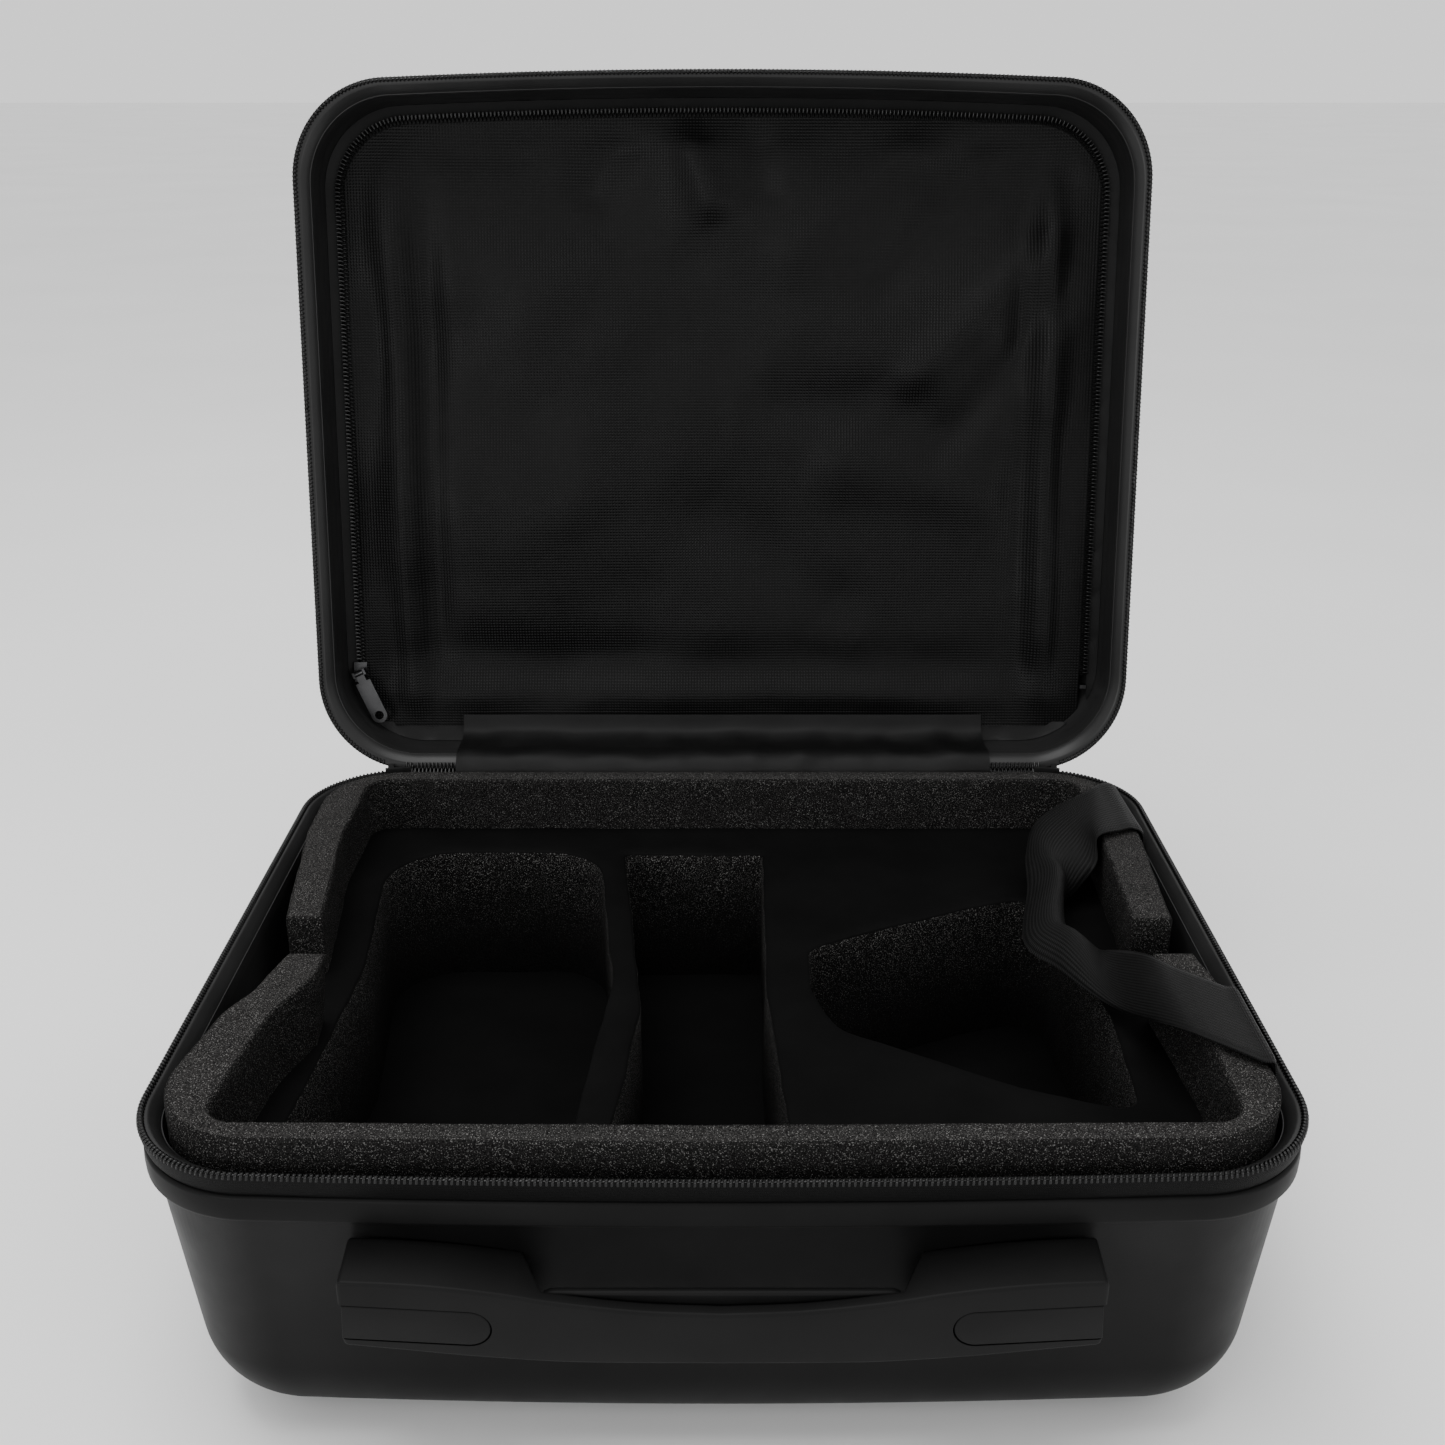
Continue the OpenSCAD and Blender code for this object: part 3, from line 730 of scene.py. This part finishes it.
def hinge_tape_build():
    """The cloth behind the hinge chain, from the lower shell's tape to the lid's."""
    b = Build()
    xs, turns = [], []
    for x in np.linspace(-TEETH_CX, TEETH_CX, 61):
        xs.append((x, 0.0))
    for t in np.linspace(2, 14, 7):
        xs.append((TEETH_CX + TEETH_ARC * math.sin(math.radians(t)), t))
        xs.insert(0, (-xs[-1][0], t))
    rows, uvs = [], []
    for x, t in xs:
        y = TEETH_CY + TEETH_ARC * math.cos(math.radians(t))
        shut = [(x, y - 0.75, -4.5), (x, y - 0.7, -2.4)]
        low = to_base(shut)
        high = to_lid([(x, y - 0.75, 4.5), (x, y - 0.7, 2.4)])
        mid = (low[1] + high[1]) / 2 + np.array([0, 0.647, -0.763]) * (1.0 if t == 0 else 0.3)
        section = spline([low[0], low[1], mid, high[1], high[0]], 4)
        rows.append(section)
        uvs.append(np.c_[np.full(len(section), x), np.linspace(0, 12, len(section))])
    m = len(rows[0])
    verts = np.vstack(rows)
    back = verts + np.array([0, 0.4, -0.4])
    faces = strip_faces(len(rows), m)
    b.add(verts, faces, 0, np.vstack(uvs))
    b.add(back, [f[::-1] for f in faces], 0, np.vstack(uvs))
    return b


hinge_tape = piece("hinge_tape", hinge_tape_build(), None, [TAPE], 70, closed=False, uv=True)
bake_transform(hinge_tape)


# ---- foam -------------------------------------------------------------------------------------

GOGGLES = [[-139, 104, 27], [-51.5, 105, 25], [-39.5, 0, 90], [-48.5, -103, 14], [-138, -103, 16],
           [-131, 10, 90]]
BATTERY = [[-40.5, 102, 3], [16.5, 102, 3], [15.5, -9, 12], [21.5, -100, 6], [-35.5, -100, 6],
           [-28.5, -21, 20]]
DRONE = [[32, 23, 9], [96, 55, 20], [128, 66, 14], [135, -26, 20], [133, -82, 6], [96, -67, 20],
         [40, -33, 16], [32, -7, 9]]
FRONT_COLLAR = [[-151.5, -28, 1], [-154.5, -52, 6], [-160, -66, 20], [-166, -100, 20],
                [-166, -133.5, 31], [0, -136, 400], [166, -133.5, 31], [166, -66, 60],
                [161.5, -28, 1], [147.5, -28, 1], [151, -80, 60], [151, -124.5, 9],
                [0, -126.5, 400], [-151, -124.5, 9], [-144, -66, 30], [-137, -44, 6],
                [-138, -28, 1]]
REAR_COLLAR = [[-157, 4, 1], [-166, 75, 90], [-166, 136, 31], [166, 136, 31], [166, 75, 90],
               [161.5, 3, 1], [147, 3, 1], [150, 75, 60], [150, 126.5, 9], [-150, 126.5, 9],
               [-151, 75, 60], [-144, 4, 1]]


def even(loop, step):
    """A closed loop with points no further apart than a step; corners are kept."""
    out = []
    for i, p in enumerate(loop):
        q = loop[(i + 1) % len(loop)]
        n = max(1, int(math.ceil(np.linalg.norm(q - p) / step)))
        out += [p + (q - p) * k / n for k in range(n)]
    out = np.array(out)
    keep = np.linalg.norm(out - np.roll(out, 1, axis=0), axis=1) > 0.05
    return out[keep]


def wall_rings(loop, levels, turn, seed, rough=0.35, edge=1.0):
    """Rings down a cut foam wall; turn is 1 for an outer wall and -1 for a hole's wall."""
    n = outward(loop) * turn
    rings = []
    for z, inset in levels:
        ring = loop - n * inset
        pts = np.c_[ring, np.full(len(ring), z)]
        amount = 0.0 if inset >= edge else 1.0
        push = wobble(pts, 9, rough, seed) + wobble(pts, 38, rough * 1.6, seed + 7)
        pts[:, :2] += n * (push * amount)[:, None]
        rings.append(pts)
    return rings


def foam_collar(name, outline, top, node, seed, lean=None):
    loop = even(rounded(outline), 3)
    zs = np.linspace(TRAY_Z + 0.1, top - 1.3, 8)
    levels = [(z, 0.0) for z in zs] + [(top - 0.75, 0.12), (top - 0.3, 0.4), (top, 1.0)]
    rings = wall_rings(loop, levels, 1, seed)
    m = len(loop)
    b = Build()
    verts = np.vstack(rings)
    faces = strip_faces(len(rings), m, closed_cols=True)
    b.add(verts, faces, 0)
    lid, tris = fill(rings[-1][:, :2], [], 4)
    lid = np.c_[lid, np.full(len(lid), float(top))]
    near = np.array([np.min(np.sum((rings[-1][:, :2] - p[:2]) ** 2, axis=1)) for p in lid])
    lid[:, 2] += wobble(lid, 16, 0.5, seed + 3) * (near > 1)
    b.add(lid, tris, 1)
    floor, tris = fill(rings[0][:, :2], [], 30)
    b.add(np.c_[floor, np.full(len(floor), TRAY_Z + 0.1)], tris, 0)
    if lean:
        b.move(lean)
    # collar sides take the painted-shade foam, tops the painted-light foam
    ob = piece(name, b, "base", [FOAM_SIDE_SHADE, FOAM], 55, weld=0.002)
    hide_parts(node)
    return ob


def arms_lean(p):
    """The front collar's arms tip inwards near the finger gap."""
    p = p.copy()
    rise = np.clip((p[:, 2] - TRAY_Z) / 27, 0, 1)
    near = np.clip((p[:, 1] + 75) / 47, 0, 1) ** 1.5
    left = p[:, 0] < 0
    p[:, 0] += np.where(left, 3.4, -1.2) * rise * near
    return p


foam_collar("collar_front", FRONT_COLLAR, ZIP_Z + 6, "foam_collar_front", 1.0, arms_lean)
foam_collar("collar_rear", REAR_COLLAR, ZIP_Z + 2, "foam_collar_rear", 5.0)


def foam_block():
    outer = even(rim(14), 4)
    holes = [even(rounded(h), 3) for h in (GOGGLES, BATTERY, DRONE)]
    b = Build()
    top_loops, low_loops = [], []
    for k, (loop, turn) in enumerate([(outer, 1)] + [(h, -1) for h in holes]):
        zs = np.linspace(BAY_Z + 0.1, TRAY_Z - 1.6, 14)
        levels = [(z, 0.0) for z in zs] + [(TRAY_Z - 0.9, 0.15), (TRAY_Z - 0.35, 0.5), (TRAY_Z, 1.2)]
        rings = wall_rings(loop, levels, turn, 10.0 + k, rough=0.4, edge=1.2)
        faces = strip_faces(len(rings), len(loop), closed_cols=True)
        wall = len(faces) - 2 * len(loop)
        b.add(np.vstack(rings), faces, [1 if i < wall else 0 for i in range(len(faces))])
        top_loops.append(rings[-1][:, :2])
        low_loops.append(rings[0][:, :2])
    verts, tris = fill(top_loops[0], top_loops[1:], 5)
    edge = np.vstack(top_loops)
    verts = np.c_[verts, np.full(len(verts), float(TRAY_Z))]
    near = np.array([np.min(np.sum((edge - p[:2]) ** 2, axis=1)) for p in verts])
    verts[:, 2] += wobble(verts, 30, 0.7, 2.0) * np.clip(near / 60, 0, 1)
    b.add(verts, tris, 0)
    verts, tris = fill(low_loops[0], low_loops[1:], 30)
    b.add(np.c_[verts, np.full(len(verts), BAY_Z + 0.1)], tris, 0)
    # block walls take the painted-shade bay foam
    ob = piece("insert_block", b, "base", [SKIN, FOAM_BAY_SHADE], 60, weld=0.002)
    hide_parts("foam_block")


def foam_floor():
    section = [(46, WALL + 0.4), (36, 4.4), (29, 8.5), (21, 16), (17, 23), (15.5, 27), (15, BAY_Z - 0.8),
               (15.4, BAY_Z - 0.2), (16, BAY_Z)]
    rings = [np.c_[rim(e), np.full(len(rim(e)), float(z))] for e, z in section]
    m = len(rings[0])
    b = Build()
    b.add(np.vstack(rings), strip_faces(len(rings), m, closed_cols=True), 0)
    top, tris = fill(rings[-1][:, :2], [], 6)
    top = np.c_[top, np.full(len(top), float(BAY_Z))]
    near = np.array([np.min(np.sum((rings[-1][:, :2] - p[:2]) ** 2, axis=1)) for p in top])
    top[:, 2] += wobble(top, 26, 0.5, 4.0) * np.clip(near / 60, 0, 1) - 0.05
    b.add(top, tris, 0)
    low, tris = fill(rings[0][:, :2], [], 60)
    b.add(np.c_[low, np.full(len(low), WALL + 0.4)], tris, 0)
    ob = piece("insert_floor", b, "base", [FLOOR_FOAM], 60, weld=0.06)
    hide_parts("foam_base_layer")


foam_block()
foam_floor()


# ---- webbing strap ----------------------------------------------------------------------------

STRAP_PATH = [
    [166.6, 96, -14, -0.06, 1, 0, 1], [166.4, 96, 0.5, -0.06, 1, 0, 1], [163.5, 96.5, 3.9, 0, 1, 0, 1],
    [158, 94, 4.4, 0, 1, 0, 1], [149, 86, 4.7, 0.1, 1, 0, 1], [137, 75, -3, -0.47, 0.88, 0.1, 0.85],
    [129, 62, -9, -0.6, 0.7, 0.3, 0.6], [124, 46, -12, -0.8, 0.4, 0.4, 0.34],
    [120.5, 17, -17, -0.95, 0.15, 0.2, 0.42], [127, 2, -15, -0.7, -0.7, 0.1, 0.42],
    [137, -17, -11, -0.1, -1, -0.1, 0.8], [143, -50, 5, 0, -1, -0.05, 0.97],
    [150, -64, 8.3, 0, -1, 0, 1], [162.5, -76, 8.5, 0, -1, 0, 1], [166.9, -77, 6.5, 0, -1, 0, 1],
    [166.9, -77.5, -15, 0, -1, 0, 1]]


def ribbon(path, width, thick, cols, curl):
    """A flat strap along rows of place and width direction, with rolled edges."""
    rows = len(path)
    place, across, spread = path[:, :3], path[:, 3:6], path[:, 6]
    across = across / np.linalg.norm(across, axis=1)[:, None]
    way = np.gradient(place, axis=0)
    way /= np.linalg.norm(way, axis=1)[:, None]
    face = np.cross(way, across)
    face /= np.linalg.norm(face, axis=1)[:, None]
    run = np.r_[0, np.cumsum(np.linalg.norm(np.diff(place, axis=0), axis=1))]
    s = np.linspace(-1, 1, cols)
    tops, lows, uv = [], [], []
    for i in range(rows):
        half = width / 2 * spread[i]
        bend = curl * (1 - spread[i]) * (1 - s ** 2)
        line = place[i] + np.outer(s * half, across[i]) + np.outer(bend, face[i])
        taper = thick / 2 * np.clip((1 - np.abs(s)) * cols * 0.6, 0.35, 1)
        tops.append(line + face[i] * taper[:, None])
        lows.append((line - face[i] * taper[:, None])[::-1])
        uv.append(np.r_[np.c_[np.full(cols, run[i]), s * width / 2],
                        np.c_[np.full(cols, run[i]), s[::-1] * width / 2]])
    verts = np.vstack([np.vstack([t, l]) for t, l in zip(tops, lows)])
    faces = strip_faces(rows, 2 * cols, closed_cols=True)
    n = len(verts)
    faces += [tuple(range(2 * cols)), tuple(range(n - 2 * cols, n))[::-1]]
    return Build().add(verts, faces, 0, np.vstack(uv))


strap_rows = spline(STRAP_PATH, 8)
strap_rows[:, 2] += ZIP_Z
strap = piece("webbing_strap", ribbon(strap_rows, 44, 1.5, 17, -19), "base", [STRAP], 60, uv=True)
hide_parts("lift_strap")


# ---- lid lining -------------------------------------------------------------------------------

def fold(x, y, x0, y0, x1, y1, width, height):
    """A soft crease along a line, fading at its ends."""
    dx, dy = x1 - x0, y1 - y0
    length = math.hypot(dx, dy)
    t = ((x - x0) * dx + (y - y0) * dy) / length ** 2
    d = ((x - x0) * dy - (y - y0) * dx) / length
    depth_shade = np.clip(np.minimum(t, 1 - t) * 5 + 0.25, 0, 1)
    return height * depth_shade * np.exp(-(d / width) ** 2)


def panel_height(x, back):
    """How far the lining cloth stands towards the opening; back is the distance from the hinge."""
    across = np.sin(math.pi * np.clip((x + 160) / 320, 0, 1))
    h = -3.5 * across * np.sin(math.pi * np.clip(back / 270, 0, 1))
    h = h + fold(x, back, -141, 255, -137, 18, 7, 4.2) + fold(x, back, -126, 246, -128, 30, 6, -3.0)
    h = h + fold(x, back, 152, 236, 66, 150, 9, 4.0) + fold(x, back, 150, 206, 90, 130, 8, -3.2)
    h = h + fold(x, back, 120, 262, 60, 196, 10, -3.0) + fold(x, back, 90, 268, 20, 210, 14, 2.6)
    h = h + fold(x, back, -18, 274, -2, 232, 8, 3.6) + fold(x, back, 14, 276, 18, 236, 8, -3.0)
    h = h + fold(x, back, -40, 270, -60, 236, 10, -2.0) + fold(x, back, 40, 130, 120, 112, 15, 3.0)
    h = h + fold(x, back, 10, 154, 90, 160, 12, -3.0) + fold(x, back, -20, 120, 60, 60, 16, -2.4)
    h = h + fold(x, back, -150, 46, 150, 38, 11, -2.2) + fold(x, back, -150, 27, 150, 27, 8, 2.4)
    h = h + fold(x, back, 139, 262, 142, 16, 6, 4.0) + fold(x, back, 128, 240, 131, 30, 6, -2.2)
    return h


panel_loop = even(front_u(LINING_IN + 1.9, HINGE_Y - 13), 4)
flat, tris = fill(panel_loop, [], 3)
back = HINGE_Y - flat[:, 1]
edge_gap = np.sqrt(np.array([np.min(np.sum((panel_loop - p) ** 2, axis=1)) for p in flat]))
level = np.c_[flat, np.zeros(len(flat))]
lift = panel_height(flat[:, 0], back) + wobble(level, 24, 1.0, 3.0) + wobble(level, 70, 5.0, 8.0)
lift = lift * np.clip(edge_gap / 12, 0, 1) ** 1.3
face_verts = to_lid(np.c_[flat, LINING_DROP + 0.2 - lift])
rear_verts = to_lid(np.c_[flat, LINING_DROP + 0.9 - lift])
b = Build().add(face_verts, tris, 0, flat + 200)
b.add(rear_verts, [t[::-1] for t in tris], 0, flat + 200)
panel = piece("mesh_panel", b, "lid", [MESH], 80, closed=False, uv=True)
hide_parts("lining_panel")


def border_build():
    """Glued cloth from the lid's wall to the lining zip and round the panel's lower corners."""
    outer = even(rim(8.1, 16), 5)
    inner = even(front_u(LINING_IN - 1.5, HINGE_Y - 15), 5)
    flat, tris = fill(outer, [inner], 4)
    gap = np.sqrt(np.array([np.min(np.sum((outer - p) ** 2, axis=1)) for p in flat]))
    level = LINING_DROP + 0.3 - 2.6 * np.clip(1 - gap / 2.5, 0, 1)
    level += wobble(np.c_[flat, flat[:, :1]], 14, 0.3, 1.0)
    b = Build().add(to_lid(np.c_[flat, level]), tris, 0, flat + 200)
    b.add(to_lid(np.c_[flat, level + 0.7]), [t[::-1] for t in tris], 0, flat + 200)
    return b


border = piece("lining_border_cloth", border_build(), "lid", [CLOTH], 80, closed=False, uv=True)
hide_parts("lining_border")

zip_build = Build()
zip_path = walk(front_u(LINING_IN, SLIDER_Y + 2), 1.0)[0]
zip_path = to_lid(np.c_[zip_path, np.full(len(zip_path), LINING_DROP - 0.1)])
inward = np.array([0, -math.sin(OPEN), -math.cos(OPEN)])
chain(zip_build, zip_path, lambda p, w: np.cross(w, np.tile(inward, (len(p), 1))), inward, 3.4, 0.4)
lining_zip = piece("lining_coil", zip_build, "lid", [COIL], 60)
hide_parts("lining_zip_teeth")


def flat_band(path, width, lift, thick=0.5, cols=5):
    """A flat strip of tape along a path in the lid, facing the opening."""
    place, way = walk(path, 3)
    side = np.cross(way, np.tile(inward, (len(place), 1)))
    s = np.linspace(-0.5, 0.5, cols)
    run = np.arange(len(place)) * 3.0
    b = Build()
    top = place[:, None, :] + s[None, :, None] * width * side[:, None, :] + inward * lift
    low = top - inward * thick
    uv = np.dstack([np.repeat(run[:, None], cols, 1), np.repeat(s[None, :] * width, len(run), 0)]).reshape(-1, 2)
    faces = strip_faces(len(place), cols)
    b.add(top.reshape(-1, 3), faces, 0, uv)
    b.add(low.reshape(-1, 3), [f[::-1] for f in faces], 0, uv)
    return b


piece("lining_tape", flat_band(zip_path, 5.2, -0.45), "lid", [TAPE], 80,
      closed=False, uv=True)


# ---- hinge flap -------------------------------------------------------------------------------

def flap_build():
    section = spline([(137.5, 96.5), (137.6, 102), (138.0, 107), (140, 111.4), (143.6, 114.6), (148.5, 115.4),
                      (156, 114.6), (163.5, 115.0), (168.6, 117.6), (170.9, 123.4)], 5)
    run = np.r_[0, np.cumsum(np.linalg.norm(np.diff(section, axis=0), axis=1))]
    xs = np.linspace(-116, 116, 140)
    rows = []
    for x in xs:
        pts = np.c_[np.full(len(section), x), section]
        free = np.sin(math.pi * run / run[-1])
        lift = wobble(pts, 22, 2.6, 2.0) + wobble(pts * [1.0, 0.5, 0.5], 9, 1.0, 9.0)
        pts[:, 1] -= lift * free * 0.65
        pts[:, 2] += lift * free * 0.76
        rows.append(pts)
    uv = np.vstack([np.c_[np.full(len(run), x), run] for x in xs])
    verts = np.vstack(rows)
    faces = strip_faces(len(xs), len(section))
    b = Build().add(verts, faces, 0, uv)
    b.add(verts + [0, 0.45, -0.5], [f[::-1] for f in faces], 0, uv)
    return b


flap = piece("hinge_flap", flap_build(), None, [CLOTH], 80, closed=False, uv=True)
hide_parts("hinge_flap_base", "hinge_flap_lid")
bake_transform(flap)


# ---- handle -----------------------------------------------------------------------------------

TOP_LINE = [(-107, 15.5), (-92, 14.7), (-77, 13.2), (-61, 10.6), (-46, 7.4), (-23, 4.1), (0, 2.9)]
LOW_LINE = [(-107, -8.7), (-90, -10.9), (-70, -13.5), (-45, -15.7), (-22, -16.2), (0, -16.3)]


def smooth_line(x, pts):
    pts = np.array(pts)
    curve = spline(pts, 8)
    return np.interp(-np.abs(x), curve[:, 0], curve[:, 1])


def bar_section(top, low, y_front, y_back, r, n=6, crown=0.5):
    """A closed rounded section, front to the right way round: (y, z) pairs."""
    r = min(r, (top - low) / 2 - 0.1, (y_back - y_front) / 2 - 0.1)
    out = []
    for cy, cz, a0 in ((y_front + r, low + r, 180), (y_back - r, low + r, 270), (y_back - r, top - r, 0),
                       (y_front + r, top - r, 90)):
        for k in range(n + 1):
            a = math.radians(a0 + 90 * k / n)
            out.append((cy + r * math.cos(a), cz + r * math.sin(a)))
    mid = (top + low) / 2
    for k in range(1, 8):
        z = top - r + (low + r - top + r) * k / 8
        out.append((y_front - crown * (1 - ((z - mid) / (top - low) * 2) ** 2), z))
    return out


def grip_build():
    """The flexible outer skin with its two end blocks."""
    xs = np.r_[np.linspace(-107, -105.5, 6), np.linspace(-104, -60, 30), np.linspace(-58.5, -50, 10),
               np.linspace(-48, 0, 24)]
    xs = np.r_[xs, -xs[-2::-1]]
    rows = []
    for x in xs:
        end = max(0.0, abs(x) - 105.5) / 1.5
        shrink = 1.3 * (1 - math.sqrt(max(0.0, 1 - end * end)))
        top = smooth_line(x, TOP_LINE) - shrink
        low = smooth_line(x, LOW_LINE) + shrink
        depth = np.clip((abs(x) - 51) / 6.5, 0, 1)
        y_back = -14.6 + (14.6 - 1.2) * depth
        section = bar_section(top, low, -19 + shrink * 0.3, y_back - shrink * 0.3, 1.1, crown=0.25)
        rows.append([(x, y, z) for y, z in section])
    m = len(rows[0])
    verts = np.array(rows).reshape(-1, 3)
    faces = strip_faces(len(rows), m, closed_cols=True)
    n = len(verts)
    faces += [tuple(range(m)), tuple(range(n - m, n))[::-1]]
    return Build().add(verts, faces)


def stadium(side, grow, reach=20.2):
    """Outline of a tongue seen from the front, round at its inner end."""
    r = 6.35 + grow
    inner = 6.35 - 21.5
    a = np.radians(np.linspace(90, 270, 25))
    pts = np.vstack([[reach, -r], [reach, r], np.c_[inner + r * np.cos(a), r * np.sin(a)]])
    t = math.radians(4.2)
    x = pts[:, 0] * math.cos(t) - pts[:, 1] * math.sin(t)
    z = pts[:, 0] * math.sin(t) + pts[:, 1] * math.cos(t)
    return np.c_[side * (ANCHOR_X + x), z - 0.9]


def cut(ob, tool):
    """Takes the tool's volume out of an object, once and for all."""
    mod = ob.modifiers.new("cut", "BOOLEAN")
    mod.object = tool
    mod.solver = "EXACT"
    graph = bpy.context.evaluated_depsgraph_get()
    done = bpy.data.meshes.new_from_object(ob.evaluated_get(graph))
    ob.modifiers.clear()
    ob.data = done
    done.set_sharp_from_angle(angle=math.radians(32))
    bpy.data.objects.remove(tool)


grip = piece("grip_skin", grip_build().move(on_front), "handle", [GRIP], 50)
for side in (-1, 1):
    tool = Build().add(*slab(stadium(side, 0.35, 28), -25, -5, 0.01, 1))
    cut(grip, piece("slot_tool", tool.move(on_front), None, [GRIP], 50))

core = []
for x in np.linspace(-50.5, 50.5, 60):
    end = max(0.0, abs(x) - 48.5) / 2
    section = bar_section(6.6 - end * 1.2, -14.5 + end, -14.2, -11.4, 1.1, crown=0.0)
    core.append([(x, y, z) for y, z in section])
m = len(core[0])
core = np.array(core).reshape(-1, 3)
n = len(core)
core_build = Build().add(core, strip_faces(60, m, closed_cols=True)
                         + [tuple(range(m)), tuple(range(n - m, n))[::-1]])
piece("grip_core", core_build.move(on_front), "handle", [GRIP], 50)
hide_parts("handle_grip")

for side, word in ((-1, "left"), (1, "right")):
    b = Build().add(*slab(stadium(side, 0), -19.2, -15, 0.5))
    neck = np.array([[side * ANCHOR_X - 13.4, -4.6], [side * ANCHOR_X + 13.4, -4.6],
                     [side * ANCHOR_X + 13.4, 2.8], [side * ANCHOR_X - 13.4, 2.8]])
    b.add(*slab(neck, -15.2, -0.6, 0.5))
    anchor = piece("tongue_" + word, b.move(on_front), "base", [GRIP], 40)
    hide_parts("handle_anchor_" + word)


# ---- carried-over nodes -----------------------------------------------------------------------

def dress(node, look, bevel=0.0):
    ob = bpy.data.objects[node]
    ob.data.materials.clear()
    ob.data.materials.append(look)
    if bevel:
        mod = ob.modifiers.new("edge", "BEVEL")
        mod.width = bevel / 1000
        mod.segments = 2
        mod.limit_method = "ANGLE"
        mod.angle_limit = math.radians(40)


for node in ("handle_plate_left", "handle_plate_right", "handle_screws", "grip_spring_strip"):
    dress(node, STEEL, 0.2)
for node in ("slider_left", "slider_right"):
    dress(node, SLIDE, 0.25)
for node in ("pull_left", "pull_right", "lining_slider", "lining_pull", "lining_zip_stops"):
    dress(node, GUN, 0.22)


# ---- floor and light --------------------------------------------------------------------------

floor_look = material("pale_floor", (0.82, 0.82, 0.82), 0.6)
floor_nodes = Nodes(floor_look)
floor_nodes.colour(floor_nodes.noise(3, 2), [(0.3, 0.84), (0.7, 0.88)])
floor_mesh = bpy.data.meshes.new("floor")
floor_mesh.from_pydata([(-9, -4, 0), (9, -4, 0), (9, 14, 0), (-9, 14, 0)], [], [(0, 1, 2, 3)])
floor_mesh.materials.append(floor_look)
floor = bpy.data.objects.new("floor", floor_mesh)
bpy.context.scene.collection.objects.link(floor)

world = bpy.data.worlds.new("studio")
bpy.context.scene.world = world
world.use_nodes = True
world.node_tree.nodes["Background"].inputs["Color"].default_value = (1, 1, 1, 1)
world.node_tree.nodes["Background"].inputs["Strength"].default_value = 1.15


def area_light(name, place, aim, size, power):
    data = bpy.data.lights.new(name, "AREA")
    data.shape = "RECTANGLE"
    data.size, data.size_y = size
    data.energy = power
    ob = bpy.data.objects.new(name, data)
    ob.location = place
    ob.rotation_euler = (Vector(aim) - Vector(place)).to_track_quat("-Z", "Y").to_euler()
    bpy.context.scene.collection.objects.link(ob)


area_light("overhead", (-0.25, -0.1, 1.6), (0, 0.05, 0), (1.2, 0.9), 18)
area_light("front_fill", (-0.9, -1.5, 0.5), (0, 0.05, 0.15), (0.7, 0.5), 9)
area_light("low_right", (1.0, -1.2, 0.25), (0, 0.1, 0.25), (0.5, 0.3), 4)
